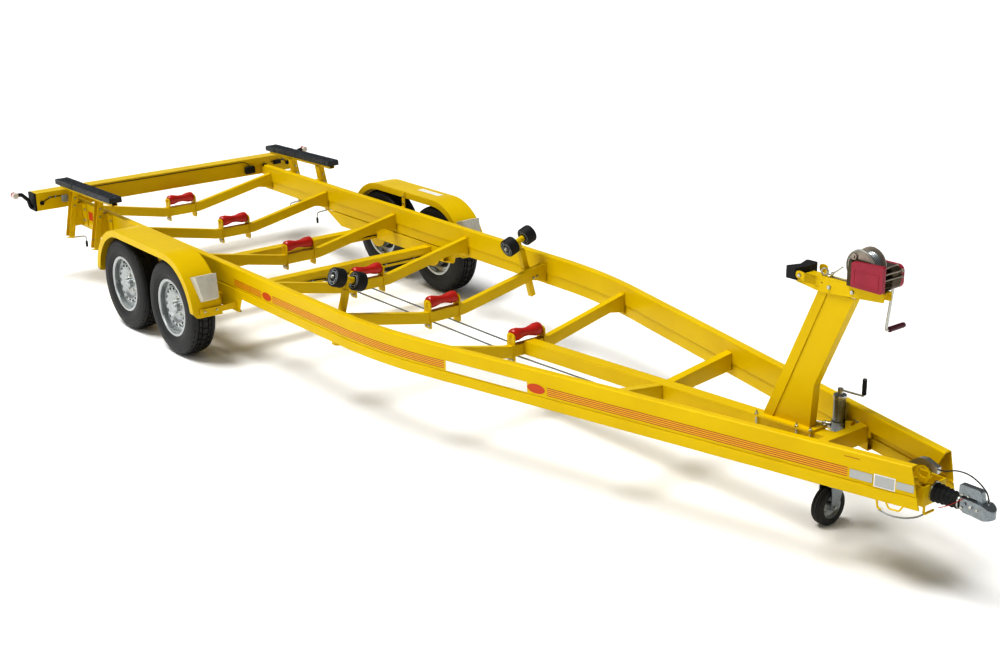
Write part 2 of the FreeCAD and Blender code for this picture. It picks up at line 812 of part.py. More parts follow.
def swing_arm(x, side):
    """Trailing arm from the tube's end down to the stub axle, with the backing plate."""
    inner = beam_half_width + carrier_sheet * 4
    outer = inner + arm_thick
    pivot = V(x + tube_lead, inner, tube_height)
    stub = V(x, inner, tyre_radius)
    along = (pivot - stub).normalize()
    across = V(-along.z, 0, along.x)
    corners = [pivot + across * arm_pivot_radius * 0.96, pivot - across * arm_pivot_radius * 0.96,
               stub - across * arm_end_radius * 0.96, stub + across * arm_end_radius * 0.96]
    web = Part.Face(Part.makePolygon(corners + [corners[0]])).extrude(V(0, arm_thick, 0))
    eye = bar_y(pivot.x, pivot.z, arm_pivot_radius, inner, outer)
    boss = bar_y(stub.x, stub.z, arm_end_radius, inner, outer)
    drum_back = track_half - tyre_half - drum_face + rim_sheet
    plate = bar_y(stub.x, stub.z, drum_radius, drum_back - backing_gap - backing_sheet,
                  drum_back - backing_gap)
    neck = bar_y(stub.x, stub.z, stub_radius, outer, track_half + disc_offset)
    sleeve = bar_y(stub.x, stub.z, arm_end_radius, outer, drum_back - backing_gap)
    arm = one([web, eye, boss, plate, neck, sleeve])
    return arm if side > 0 else mirrored(arm)


def axle_carrier():
    """Open channel under the beam with square holes for the tubes."""
    outer = beam_half_width
    outline = [(carrier_rear, beam_bottom), (carrier_front, beam_bottom),
               (carrier_front_low, carrier_bottom), (carrier_rear_low, carrier_bottom)]
    body = side_prism(outline, beam_inner, outer)
    oblique = [(carrier_front - carrier_cut, beam_inner - overrun), (carrier_front + overrun, beam_inner - overrun),
               (carrier_front + overrun, outer - carrier_sheet), (carrier_front, outer - carrier_sheet),
               (carrier_front - carrier_cut, beam_inner)]
    body = body.cut(plan_prism(oblique, carrier_bottom - overrun, beam_bottom + overrun))
    t = carrier_sheet
    hollow = side_prism([(carrier_rear - overrun, beam_bottom + t), (carrier_front + overrun, beam_bottom + t),
                         (carrier_front + overrun, carrier_bottom + t),
                         (carrier_rear_low, carrier_bottom + t)],
                        beam_inner + t, outer - t)
    body = body.cut(hollow)
    for place in axle_places.values():
        half = tube_square / 2 + seat_gap
        x = place + tube_lead
        body = body.cut(box(x - half, x + half, beam_inner - overrun, outer + overrun,
                            tube_height - half, tube_height + half))
    return body


# Mudguards

def guard_arch(inset, y0, y1):
    """Arch round both wheels, inset by a distance, drawn out along Y."""
    r = guard_radius - inset
    top = tyre_radius + r
    low = tyre_radius - overrun
    outline = [(-r, low), (-r, top), (axle_spacing + r, top), (axle_spacing + r, low)]
    return side_prism(outline, y0, y1, [0, r, r, 0])


def mudguard():
    """Top sheet with down-turned skirts on both edges, cut off above the axles."""
    y0, y1 = guard_inner, guard_outer
    t = guard_sheet
    outer = guard_arch(0, y0, y1)
    under = guard_arch(t, y0 + t, y1 - t)
    opening = guard_arch(guard_skirt, y0 - overrun, y1 + overrun)
    r = guard_radius + overrun
    ends = side_prism([(-r, guard_rear_low), (-r, 0), (axle_spacing + r, 0),
                       (axle_spacing + r, guard_front_low)], y0 - overrun, y1 + overrun)
    guard = outer.cut(under).cut(opening).cut(ends)
    for x0, x1, low in ((-r, 0, guard_rear_low), (axle_spacing, axle_spacing + r, guard_front_low)):
        c = guard_corner
        turns = [math.radians(90 * i / guard_corner_steps) for i in range(guard_corner_steps + 1)]
        curve = [(y1 - c + c * math.cos(a), low + c - c * math.sin(a)) for a in turns]
        outline = [(y1 + c, low - c), (y1 + c, curve[0][1])] + curve + [(curve[-1][0], low - c)]
        guard = guard.cut(cross_prism(outline, x0, x1))
    return guard


def mudguard_stays():
    """Flat bars from the beam's and carrier's outer faces to the guard's inner skirt."""
    top = tyre_radius + guard_radius - guard_sheet
    half = stay_wide / 2
    x = axle_spacing / 2
    reach = guard_inner - seat_gap
    low = beam_top - stay_wide
    foot = box(x - half, x + half, beam_half_width + seat_gap, beam_half_width + seat_gap + stay_sheet,
               low - stay_wide, low)
    strap = box(x - half, x + half, beam_half_width + seat_gap, reach, low - stay_sheet, low)
    riser = box(x - half, x + half, reach - stay_sheet, reach, low - stay_sheet, top)
    out = [one([foot, strap, riser])]
    low = guard_front_low + stay_wide / 2
    reach = guard_outer - guard_corner
    for x in (-guard_radius - seat_gap - stay_sheet, axle_spacing + guard_radius + seat_gap):
        strap = box(x, x + stay_sheet, beam_half_width + seat_gap, reach, low, low + stay_wide)
        out.append(strap)
    return out


def wheel_chock():
    """Tapered block carried on the guard's front curve."""
    half_top = chock_wide / 2
    half_low = chock_narrow / 2
    high = Part.makePolygon([V(0, -half_top, chock_long), V(chock_thick, -half_top, chock_long * 0.88),
                             V(chock_thick, half_top, chock_long * 0.88), V(0, half_top, chock_long),
                             V(0, -half_top, chock_long)])
    low = Part.makePolygon([V(0, -half_low, 0), V(chock_toe, -half_low, 0), V(chock_toe, half_low, 0),
                            V(0, half_low, 0), V(0, -half_low, 0)])
    block = Part.makeLoft([low, high], True, True)
    block.translate(V(guard_radius + seat_gap, 0, -chock_long / 2))
    block.rotate(V(0, 0, 0), V(0, 1, 0), -chock_angle)
    block.translate(V(axle_spacing, (guard_inner + guard_outer) / 2 - chock_thick / 5, tyre_radius))
    return block


# Side posts

def post_frame():
    """Foot of the left post and its unit directions: along, outward across."""
    lean = math.radians(post_lean)
    x = crossbeam_places[4] - crossbeam_wide / 2 - post_stand_off - post_square / 2
    foot = V(x, post_low_y, post_low)
    along = V(0, -math.sin(lean), math.cos(lean))
    across = V(0, math.cos(lean), math.sin(lean))
    return foot, along, across


def hull_axle():
    """Middle of the twin rollers' axle and its direction."""
    foot, along, across = post_frame()
    centre = foot + along * (post_long + hull_axle_rise)
    tilt = math.radians(hull_axle_tilt)
    return centre, V(0, math.cos(tilt), math.sin(tilt))


def side_post():
    """Leaning square post, head with the axle, and the clamp on crossbeam and beam."""
    foot, along, across = post_frame()
    half = post_square / 2
    lean = post_lean
    tube = box(-half, half, -half, half, 0, post_long)
    tube.rotate(V(0, 0, 0), V(1, 0, 0), lean)
    tube.translate(foot)
    centre, axle = hull_axle()
    neck = Part.makeCylinder(half * 0.75, hull_axle_rise, foot + along * post_long, along)
    span = hull_roller_gap / 2 + hull_roller_long
    shaft = Part.makeCylinder(hull_axle_radius, 2 * span, centre - axle * span, axle)
    yoke = Part.makeCylinder(hull_axle_radius * 2, hull_roller_gap - 2 * side_play,
                             centre - axle * (hull_roller_gap / 2 - side_play), axle)
    return one([tube, neck, shaft, yoke, post_clamp(foot, along, half)])


def post_clamp(foot, along, half):
    """Plate across the post's front, held to the crossbeam's rear face."""
    share = (crossbeam_end_top - crossbeam_end_tall / 2 - foot.z) / along.z
    seat = foot + along * share
    reach = half + post_clamp_sheet
    plate = box(-half, half + post_stand_off, -reach, reach, -post_clamp_tall / 2, post_clamp_tall / 2)
    plate.rotate(V(0, 0, 0), V(1, 0, 0), post_lean)
    plate.translate(seat)
    return plate


def hull_rollers():
    """Two ribbed rollers on one axle."""
    centre, axle = hull_axle()
    up = axle.cross(V(1, 0, 0))
    r = hull_roller_radius
    bore = hull_axle_radius + running_gap
    out = []
    for side in (1, -1):
        start = centre + axle * (side * hull_roller_gap / 2)
        length = hull_roller_long
        profile = [(0, bore), (0, r * 0.5), (length * 0.12, r * 0.5), (length * 0.12, r * 0.82),
                   (0, r * 0.82), (0, r * 0.94), (length * 0.1, r), (length * 0.9, r),
                   (length, r * 0.94), (length, r * 0.82), (length * 0.88, r * 0.82),
                   (length * 0.88, r * 0.5), (length, r * 0.5), (length, bore)]
        out.append(turned(profile, start, axle * side, up))
    return out


# Rear pads

def leg_places(side):
    return far_leg_places if side > 0 else near_leg_places


def rail_under(x):
    """Height of the rail's underside at X."""
    return rail_base + (x - rail_rear) * math.tan(math.radians(rail_pitch))


def pitched(shape):
    """Turn a level rail or pad to the rail's pitch about its rear end."""
    shape = shape.copy()
    shape.rotate(V(rail_rear, 0, rail_base), V(0, 1, 0), -rail_pitch)
    return shape


def leg_clamp(x):
    """Plate on the beam's outer face with the wedge that holds the leaning leg."""
    y = beam_half_width + seat_gap
    high = beam_top - beam_corner
    half = leg_wide / 2
    plate = box(x - half, x + half + leg_clamp_reach, y, y + leg_clamp_sheet, leg_clamp_low, high)
    lean = math.tan(math.radians(leg_lean))
    face = leg_top_y - leg_deep / 2 + leg_sheet / 2
    outline = [(y, high), (face + (rail_base - high) * lean, high),
               (face + (rail_base - leg_clamp_low) * lean, leg_clamp_low), (y, leg_clamp_low)]
    return one([plate, cross_prism(outline, x - half + leg_sheet, x + half - leg_sheet)])


def pad_legs(side):
    """Leaning channel posts outside the beam, open outward and rounded at the foot."""
    out = []
    for x in leg_places(side):
        half = leg_wide / 2
        tall = rail_base - leg_bottom
        outline = [(x - half, tall / 4), (x + half, tall / 4), (x + half, -tall), (x - half, -tall)]
        body = side_prism(outline, -leg_deep / 2, leg_deep / 2, [0, 0, half * 0.9, half * 0.9])
        t = leg_sheet
        inner = [(x - half + t, tall / 2), (x + half - t, tall / 2), (x + half - t, -tall + t),
                 (x - half + t, -tall + t)]
        leg = body.cut(side_prism(inner, -leg_deep / 2 + t, leg_deep))
        leg.rotate(V(0, 0, 0), V(1, 0, 0), leg_lean)
        leg.translate(V(0, leg_top_y, rail_base))
        x0, x1 = x - leg_wide, x + leg_wide
        above = side_prism([(x0, rail_under(x0) - seat_gap), (x1, rail_under(x1) - seat_gap),
                            (x1, beam_top + tall), (x0, beam_top + tall)], beam_inner, beam_half_width + beam_height)
        leg = one([leg.cut(above), leg_clamp(x)])
        out.append(leg if side > 0 else mirrored(leg))
    return out


def pad_rail(side):
    half = rail_wide / 2
    t = rail_sheet
    top = rail_base + rail_tall
    outline = [(rail_y - half, rail_base), (rail_y + half, rail_base), (rail_y + half, top),
               (rail_y + half - t, top), (rail_y + half - t, rail_base + t),
               (rail_y - half + t, rail_base + t), (rail_y - half + t, top), (rail_y - half, top)]
    rail = pitched(cross_prism(outline, rail_rear, rail_rear + rail_long))
    return rail if side > 0 else mirrored(rail)


def hull_pads(side):
    """A short and a long rubber pad with lengthwise ribs."""
    base = rail_base + rail_tall
    split = rail_rear + pad_split_share * rail_long
    front = rail_rear + rail_long + pad_overhang
    ends = ((rail_rear - pad_overhang, split - pad_gap / 2), (split + pad_gap / 2, front))
    out = []
    for x0, x1 in ends:
        half = pad_wide / 2
        corner = pad_tall * 0.4
        body = side_prism([(x0, base), (x1, base), (x1, base + pad_tall), (x0, base + pad_tall)],
                          rail_y - half, rail_y + half, [0, 0, corner, corner])
        pitch = pad_wide / pad_rib_count
        for i in range(1, pad_rib_count):
            y = rail_y - half + i * pitch
            body = body.cut(box(x0 - overrun, x1 + overrun, y - pad_rib / 2, y + pad_rib / 2,
                                base + pad_tall - pad_rib, base + pad_tall + overrun))
        body = pitched(body)
        out.append(body if side > 0 else mirrored(body))
    return out


# Light bar

def light_bar():
    """Folded bar across the rear with two arms to the beams."""
    t = bar_sheet
    rear, front = bar_rear, bar_rear + bar_deep
    top = bar_bottom + bar_tall
    outline = [(front, bar_bottom), (front, top), (rear, top), (rear, top - bar_lip),
               (rear + t, top - bar_lip), (rear + t, top - t), (front - t, top - t),
               (front - t, bar_bottom + t), (rear + t, bar_bottom + t),
               (rear + t, bar_bottom + bar_lip / 2), (rear, bar_bottom + bar_lip / 2),
               (rear, bar_bottom)]
    pieces = [side_prism(outline, -bar_half_long, bar_half_long)]
    for y in (-bar_half_long, bar_half_long - t):
        pieces.append(box(rear, front, y, y + t, bar_bottom, top))
    for side in (1, -1):
        y = side * (beam_half_width - beam_width / 2)
        pieces.append(box(front, beam_rear, y - beam_width / 2, y + beam_width / 2,
                          bar_bottom, bar_bottom + bar_arm_wide))
    return one(pieces)


def marker_arm(side):
    """Rubber end plate of the bar with the arm that rises outward from it."""
    front = bar_rear + bar_deep
    x = bar_rear + bar_deep / 2
    y = bar_half_long + seat_gap
    plate = box(bar_rear, front, y, y + marker_base_sheet, bar_bottom, bar_bottom + bar_tall)
    start = bar_bottom + marker_arm_radius + marker_start_drop
    r = marker_arm_radius
    points = [V(x, y, start), V(x, y + 2 * r, start), V(x, marker_bend_y, marker_bend_height),
              V(x, marker_crest_y, marker_crest_height), V(x, marker_end_y, marker_crest_height)]
    arm = one([plate, rod(points, r, [0, r * 1.1, r * 1.5, r * 1.1, 0])])
    return arm if side > 0 else mirrored(arm)


def marker_lamp(side):
    x = bar_rear + bar_deep / 2
    r, length = marker_lamp_radius, marker_lamp_long
    centre = V(x, marker_end_y + r + seat_gap, marker_crest_height)
    lamp = turned([(-length, 0), (-length, r * 0.8), (-length * 0.8, r), (length * 0.8, r),
                   (length, r * 0.8), (length, 0)], centre, V(1, 0, 0), V(0, 0, 1))
    return lamp if side > 0 else mirrored(lamp)


# Winch post and head

def post_outline(inset):
    lean = math.tan(math.radians(winch_lean))
    base = spine_top(winch_rear) + foot_plate_sheet + seat_gap
    front_base = spine_top(winch_foot_front) + foot_plate_sheet + seat_gap
    top = winch_post_top
    rear_base = winch_rear + inset
    rear_top = rear_base + (top - base) * lean
    knee = (winch_knee_x - inset, winch_knee)
    front_top = (knee[0] + (top - winch_knee) * lean, top)
    return [(rear_base, base), (rear_top, top), front_top, knee,
            (winch_foot_front - inset, front_base)]


def winch_post():
    """Folded channel: web on the right, flanges front and rear, a joggle near the rear edge."""
    half = winch_post_deep / 2
    t = winch_post_sheet
    body = side_prism(post_outline(0), -half, half)
    hollow = side_prism(post_outline(t), -half + t + joggle, half + overrun)
    lean = math.tan(math.radians(winch_lean))
    strip = post_outline(0)
    shift = joggle_from_rear
    dent = side_prism([(strip[0][0] + shift, strip[0][1] - overrun),
                       (strip[1][0] + shift + overrun * lean, strip[1][1] + overrun),
                       (strip[2][0] - t * 2 + overrun * lean, strip[2][1] + overrun),
                       (strip[3][0] - t * 2, strip[3][1]),
                       (strip[4][0] - t * 2, strip[4][1] - overrun)], -half - overrun, -half + joggle)
    body = body.cut(hollow).cut(dent)
    x0, x1 = winch_rear - overrun, winch_foot_front + 2 * overrun
    low = [(x0, spine_top(x0) + seat_gap), (x1, spine_top(x1) + seat_gap)]
    plate = side_prism(low + [(x, z + foot_plate_sheet) for x, z in reversed(low)],
                       -foot_plate_wide / 2, foot_plate_wide / 2)
    return one([body, plate])


def winch_head():
    """Channel bracket over the post's top that carries bow stop and winch."""
    step = bow_stop_place + bow_stop_deep / 2 + seat_gap
    seat = bow_stop_base - seat_gap
    outline = [(head_rear, seat), (step, seat), (step, head_top), (head_front, head_top),
               (head_front, head_front_low), (head_rear + (head_front - head_rear) * 0.32, head_low),
               (head_rear + head_half / 2, head_low + head_sheet * 4)]
    body = side_prism(outline, -head_half, head_half, [head_sheet, 0, 0] + [head_sheet] * 4)
    inner = side_prism([(head_rear - overrun, head_low - overrun), (head_rear - overrun, seat - head_sheet),
                        (step + head_sheet, seat - head_sheet), (step + head_sheet, head_top - head_sheet),
                        (head_front + overrun, head_top - head_sheet), (head_front + overrun, head_low - overrun)],
                       -head_half + head_sheet, head_half - head_sheet)
    return body.cut(inner)


def bow_stop():
    """Rubber V block across the head's rear end."""
    half = bow_stop_half
    x = bow_stop_place
    d = bow_stop_deep / 2
    outline = [(x - d, -half), (x - d / 3, 0), (x - d, half), (x + d * 0.6, half), (x + d, 0),
               (x + d * 0.6, -half)]
    return plan_prism(outline, bow_stop_base, bow_stop_base + bow_stop_tall,
                      [d / 4, 0, d / 4, d / 4, 0, d / 4])


def winch_body():
    """Two frame plates on a base, the drum's pin, and the gear case with its end cap on the left."""
    inner = drum_half + frame_plate_gap
    t = winch_frame_sheet
    base = head_top + seat_gap
    x0 = winch_frame_rear
    x1 = x0 + winch_frame_long
    pieces = [box(x0, x1, -inner - t, inner + t, base, base + t)]
    top = base + winch_frame_tall
    shoulder = winch_frame_tall * 0.45
    for y0 in (-inner - t, inner):
        pieces.append(side_prism([(x0, base), (x1, base), (x1, base + shoulder), (drum_place + shoulder, top),
                                  (drum_place - shoulder, top), (x0, base + shoulder)],
                                 y0, y0 + t, [0, 0, t, 3 * t, 3 * t, t]))
    gear = [(gear_rear, gear_base), (gear_rear + gear_long, gear_base),
            (gear_rear + gear_long, gear_base + gear_tall), (gear_rear, gear_base + gear_tall)]
    pieces.append(side_prism(gear, inner + t - running_gap, inner + t + gear_wide, gear_corner))
    pieces.append(bar_y(drum_place, drum_height, drum_pin, -inner - t, inner + t))
    return one(pieces)


def winch_drum():
    inner = drum_half
    r, c, t = drum_flange, drum_core, drum_sheet
    bore = drum_pin + running_gap
    return turned([(-inner, bore), (-inner, r), (-inner + t, r), (-inner + t, c), (inner - t, c),
                   (inner - t, r), (inner, r), (inner, bore)],
                  V(drum_place, 0, drum_height), V(0, 1, 0), V(0, 0, 1))


def winch_cover():
    """Moulded covers: the slab over the right plate and the cap on the gear case."""
    outer = drum_half + frame_plate_gap + winch_frame_sheet
    corner = cover_thick * 0.4
    x0, x1, z = cover_rear, cover_rear + cover_long, cover_base
    slab = side_prism([(x0, z), (x1, z), (x1, z + cover_front_tall), (x0, z + cover_rear_tall)],
                      -outer - cover_thick, -outer - seat_gap, corner)
    start = outer + gear_wide + seat_gap
    cap = side_prism([(gear_rear, gear_base), (gear_rear + gear_long, gear_base),
                      (gear_rear + gear_long, gear_base + gear_tall), (gear_rear, gear_base + gear_tall)],
                     start, start + gear_cap, gear_corner)
    bore = bar_y(crank_place, crank_height, crank_rod * 2 + seat_gap, start - overrun, start + gear_cap + overrun)
    return [slab, cap.cut(bore)]


def winch_crank():
    """Shaft, bent arm and grip."""
    shaft_y = drum_half + frame_plate_gap + winch_frame_sheet + gear_wide + seat_gap
    end_y = shaft_y + gear_cap + crank_rod * 4
    boss = bar_y(crank_place, crank_height, crank_rod * 2, shaft_y, end_y)
    arm_y = end_y - crank_rod * 1.5
    low_x, low_z = crank_place - crank_lean, crank_height - crank_arm
    arm = rod([V(crank_place, arm_y, crank_height), V(low_x, arm_y, low_z),
               V(low_x, arm_y + grip_long * 0.4, low_z)], crank_rod, [0, crank_rod * 2, 0])
    grip = bar_y(low_x, low_z, grip_radius, arm_y + crank_rod * 3, arm_y + crank_rod * 3 + grip_long)
    return one([boss, arm, grip])


# Jockey wheel

def jockey_tube():
    centre = V(jockey_x, jockey_y, jockey_tube_bottom)
    tall = jockey_tube_top - jockey_tube_bottom
    tube = Part.makeCylinder(jockey_tube_radius, tall, centre)
    cap = Part.makeCylinder(jockey_tube_radius, fork_sheet, V(jockey_x, jockey_y, jockey_tube_top))
    bore = Part.makeCylinder(jockey_leg_radius + seat_gap, tall - fork_sheet, centre)
    return one([tube, cap]).cut(bore)


def jockey_clamp():
    """Split clamp round the tube, bolted to the beam's inner face, with its T handle."""
    r = jockey_tube_radius + fork_sheet
    low = front_member_top - front_member_tall
    ring = Part.makeCylinder(r, front_member_tall * 0.7, V(jockey_x, jockey_y, low))
    face = inner_face_y(jockey_x + r)
    lug = box(jockey_x - r, jockey_x + r, jockey_y, face - seat_gap, low, low + front_member_tall * 0.7)
    hole = Part.makeCylinder(jockey_tube_radius, front_member_tall + 2 * overrun,
                             V(jockey_x, jockey_y, low - overrun))
    handle = rod([V(jockey_x - r, jockey_y, low + front_member_tall * 0.35),
                  V(jockey_x - r - 3 * jockey_tube_radius, jockey_y - jockey_tube_radius,
                    low + front_member_tall * 0.35)], crank_rod * 0.6, 0)
    return one([ring, lug, handle]).cut(hole)


def jockey_crank():
    top = jockey_tube_top + fork_sheet
    stem = Part.makeCylinder(jockey_stem_radius, jockey_crank_rise, V(jockey_x, jockey_y, top + seat_gap))
    z = top + jockey_crank_rise
    arm = rod([V(jockey_x, jockey_y, z - crank_rod), V(jockey_x + jockey_crank_reach, jockey_y, z),
               V(jockey_x + jockey_crank_reach, jockey_y, z + jockey_grip_long * 0.3)],
              crank_rod * 0.7, [0, crank_rod * 1.5, 0])
    grip = Part.makeCylinder(grip_radius * 0.8, jockey_grip_long,
                             V(jockey_x + jockey_crank_reach, jockey_y, z + jockey_grip_long * 0.15))
    return one([stem, arm, grip])


def jockey_leg():
    """Inner leg that slides in the outer tube; fixed here at its parked length."""
    low = jockey_fork_top()
    return Part.makeCylinder(jockey_leg_radius, jockey_tube_top - jockey_tube_bottom - 2 * fork_sheet
                             + (jockey_tube_bottom - low),
                             V(jockey_x, jockey_y, low))


def jockey_fork_top():
    return 2 * jockey_wheel_radius + fork_sheet * 2 + fork_gap


def jockey_fork():
    """Swivelling fork whose wheel trails towards the trailer's middle."""
    top = jockey_fork_top() - running_gap * 2
    wheel_y = jockey_y - jockey_trail
    r = jockey_wheel_radius
    half = jockey_wheel_half + fork_gap
    crown = box(jockey_x - half - fork_sheet, jockey_x + half + fork_sheet,
                wheel_y - jockey_leg_radius, jockey_y + jockey_leg_radius, top - fork_sheet, top)
    pieces = [crown]
    for x0 in (jockey_x - half - fork_sheet, jockey_x + half):
        outline = [(jockey_y + jockey_leg_radius, top - fork_sheet / 2), (wheel_y - jockey_leg_radius, top - fork_sheet / 2),
                   (wheel_y - jockey_leg_radius, r - jockey_axle * 2), (wheel_y + jockey_leg_radius, r - jockey_axle * 2)]
        pieces.append(cross_prism(outline, x0, x0 + fork_sheet, [0, 0, jockey_leg_radius * 0.9, jockey_leg_radius * 0.9]))
    axle = Part.makeCylinder(jockey_axle, 2 * (half + fork_sheet), V(jockey_x - half - fork_sheet, wheel_y, r),
                             V(1, 0, 0))
    return one(pieces + [axle])


def jockey_wheel_parts():
    centre = V(jockey_x, jockey_y - jockey_trail, jockey_wheel_radius)
    axis, up = V(1, 0, 0), V(0, 0, 1)
    h, r, inner = jockey_wheel_half, jockey_wheel_radius, jockey_rim_radius
    tyre_profile = [(-h * 0.8, inner + seat_gap), (-h, r * 0.8), (-h * 0.82, r * 0.95), (-h * 0.5, r),
                    (h * 0.5, r), (h * 0.82, r * 0.95), (h, r * 0.8), (h * 0.8, inner + seat_gap)]
    bore = jockey_axle + running_gap
    rim_profile = [(-h, bore), (-h, inner * 0.35), (-h * 0.3, inner * 0.4), (-h * 0.3, inner * 0.85),
                   (-h * 0.85, inner), (h * 0.85, inner), (h * 0.3, inner * 0.85),
                   (h * 0.3, inner * 0.4), (h, inner * 0.35), (h, bore)]
    return turned(tyre_profile, centre, axis, up), turned(rim_profile, centre, axis, up)


# Coupling

def overrun_housing():
    """Open-topped cradle between the beams with the shaft's bearing tube."""
    t = housing_sheet
    y = housing_half
    narrow = outer_face_y(housing_front) - beam_width - t
    plan = [(housing_rear, -y), (housing_rear + y, -y), (housing_front, -narrow), (housing_front, narrow),
            (housing_rear + y, y), (housing_rear, y)]
    body = plan_prism(plan, housing_bottom, housing_top)
    inner = [(housing_rear - overrun, -y + t), (housing_rear + y, -y + t), (housing_front - t, -narrow + t),
             (housing_front - t, narrow - t), (housing_rear + y, y - t), (housing_rear - overrun, y - t)]
    body = body.cut(plan_prism(inner, housing_bottom + t, housing_top + overrun))
    ramp = side_prism([(housing_rear - overrun, housing_bottom + 2 * t), (housing_rear + 2 * y, housing_top),
                       (housing_rear + 2 * y, housing_top + overrun), (housing_rear - overrun, housing_top + overrun)],
                      -y - overrun, y + overrun)
    body = body.cut(ramp)
    start = housing_rear + 2 * y
    barrel = bar_x(0, shaft_height, shaft_radius + t, start, housing_front)
    bore = bar_x(0, shaft_height, shaft_radius + seat_gap, start - overrun, housing_front + overrun)
    return one([body, barrel]).cut(bore)


def brake_sector():
    """Toothed ring of the handbrake on its stem, standing on the housing's front."""
    y0, y1 = -sector_y - sector_sheet, -sector_y
    ring = bar_y(sector_x, sector_height, sector_radius, y0, y1)
    stem = box(sector_x - sector_hole, sector_x + sector_hole, y0, y1, housing_top + seat_gap, sector_height)
    body = one([ring, stem]).cut(bar_y(sector_x, sector_height, sector_hole, y0 - overrun, y1 + overrun))
    notches = []
    for i in range(sector_teeth):
        tooth = box(-sector_tooth / 2, sector_tooth / 2, y0 - overrun, y1 + overrun,
                    sector_radius - sector_tooth, sector_radius + sector_tooth)
        tooth.rotate(V(0, 0, 0), V(0, 1, 0), (i - (sector_teeth - 1) / 2) * 180 / sector_teeth)
        tooth.translate(V(sector_x, 0, sector_height))
        notches.append(tooth)
    return body.cut(notches)


def gaiter():
    """Tapered rubber bellows between housing and head."""
    bore = shaft_radius + seat_gap
    profile = [(0, bore), (0, gaiter_radius * 0.9)]
    pitch = gaiter_long / gaiter_folds
    for i in range(gaiter_folds):
        taper = 1 - (1 - gaiter_front_radius / gaiter_radius) * i / (gaiter_folds - 1)
        profile += [((i + 0.3) * pitch, gaiter_radius * taper), ((i + 0.85) * pitch, gaiter_radius * taper * 0.84)]
    profile += [(gaiter_long, gaiter_front_radius * 0.84), (gaiter_long, bore)]
    return turned(profile, V(housing_front + seat_gap, 0, shaft_height), V(1, 0, 0), V(0, 0, 1))


def coupling_head():
    """Forged head with its ball socket, and the shaft that runs back into the housing."""
    rear = housing_front + gaiter_long + 2 * seat_gap
    tail = housing_rear + 2 * housing_half
    shaft = bar_x(0, shaft_height, shaft_radius, tail, rear + head_nose_radius)
    r = head_nose_radius
    n = head_neck_half
    outline = [(rear, -n), (rear + head_neck_long, -n), (head_centre, -r), (head_tip, -r), (head_tip, r),
               (head_centre, r), (rear + head_neck_long, n), (rear, n)]
    low, high = shaft_height - head_half_tall, shaft_height + head_half_tall
    body = plan_prism(outline, low, high, [n / 3, n, 0, r * 0.95, r * 0.95, 0, n, n / 3])
    side = [(rear - overrun, high), (rear - overrun, low + n), (rear, low + n * 0.6), (rear + n, low),
            (head_tip - r, low - seat_gap), (head_tip + overrun, low + r / 3), (head_tip + overrun, high - r * 0.9),
            (head_centre, high), (rear + head_neck_long, high)]
    body = body.common(side_prism(side, -r - overrun, r + overrun))
    eye = Part.makeCylinder(eye_radius, eye_top - shaft_height, V(head_centre, 0, shaft_height))
    pivot = bar_y(rear + head_neck_long / 2, shaft_height + head_half_tall * 0.3, shaft_radius / 3, -n - seat_gap * 20,
                  n + seat_gap * 20)
    socket = Part.makeSphere(ball_radius + running_gap, V(head_centre, 0, low + ball_radius * 0.55))
    mouth = Part.makeCylinder(ball_radius + running_gap, ball_radius, V(head_centre, 0, low - ball_radius * 0.45))
    return one([shaft, body, eye, pivot]).cut(socket).cut(mouth)


def coupling_handle():
    """Pressed handle over the head: open channel with a curved front."""
    rear = housing_front + gaiter_long - head_neck_half / 3
    front = rear + handle_long
    drop = shaft_height + head_half_tall + seat_gap
    t = handle_sheet
    outline = [(rear, handle_base), (rear, handle_top), (front, handle_top), (front + 3 * t, drop),
               (front - 3 * t, drop), (front - 4 * t, handle_base)]
    body = side_prism(outline, -handle_half, handle_half, [t, 2 * t, 4 * t, 0, 0, t])
    under = side_prism([(rear + t, handle_base - overrun), (rear + t, handle_top - t), (front - 4 * t, handle_top - t),
                        (front - 4 * t, handle_base - overrun)], -handle_half + t, handle_half - t)
    return body.cut(under)


def handbrake_lever():
    """Pressed channel lever, cranked over the sector, open below."""
    y0 = -lever_y - lever_wide / 2 - sector_y + lever_y
    y1 = y0 + lever_wide
    t = lever_sheet
    top = [lever_rear, lever_knee, lever_crest, lever_tip]
    low = [(x, z - lever_tall) for x, z in reversed(top)]
    body = side_prism(top + low, y0, y1, [t, lever_tall, lever_tall, t, t, t, t, t])
    roof = [(x, z - t) for x, z in top]
    deep = [(x, z - 2 * lever_tall) for x, z in reversed(top)]
    body = body.cut(side_prism(roof + deep, y0 + t, y1 - t, [0, lever_tall, lever_tall, 0, 0, 0, 0, 0]))
    grip = side_prism([lever_tip, (lever_tip[0] - lever_tall, lever_tip[1] + t), (lever_tip[0] - lever_tall,
                       lever_tip[1] - lever_tall + t), (lever_tip[0], lever_tip[1] - lever_tall)], y0, y1)
    return one([body, grip])


def beam_foot(x):
    """Middle of the right beam's outer web at X, where small parts are welded under it."""
    return -outer_face_y(x) + beam_sheet / 2


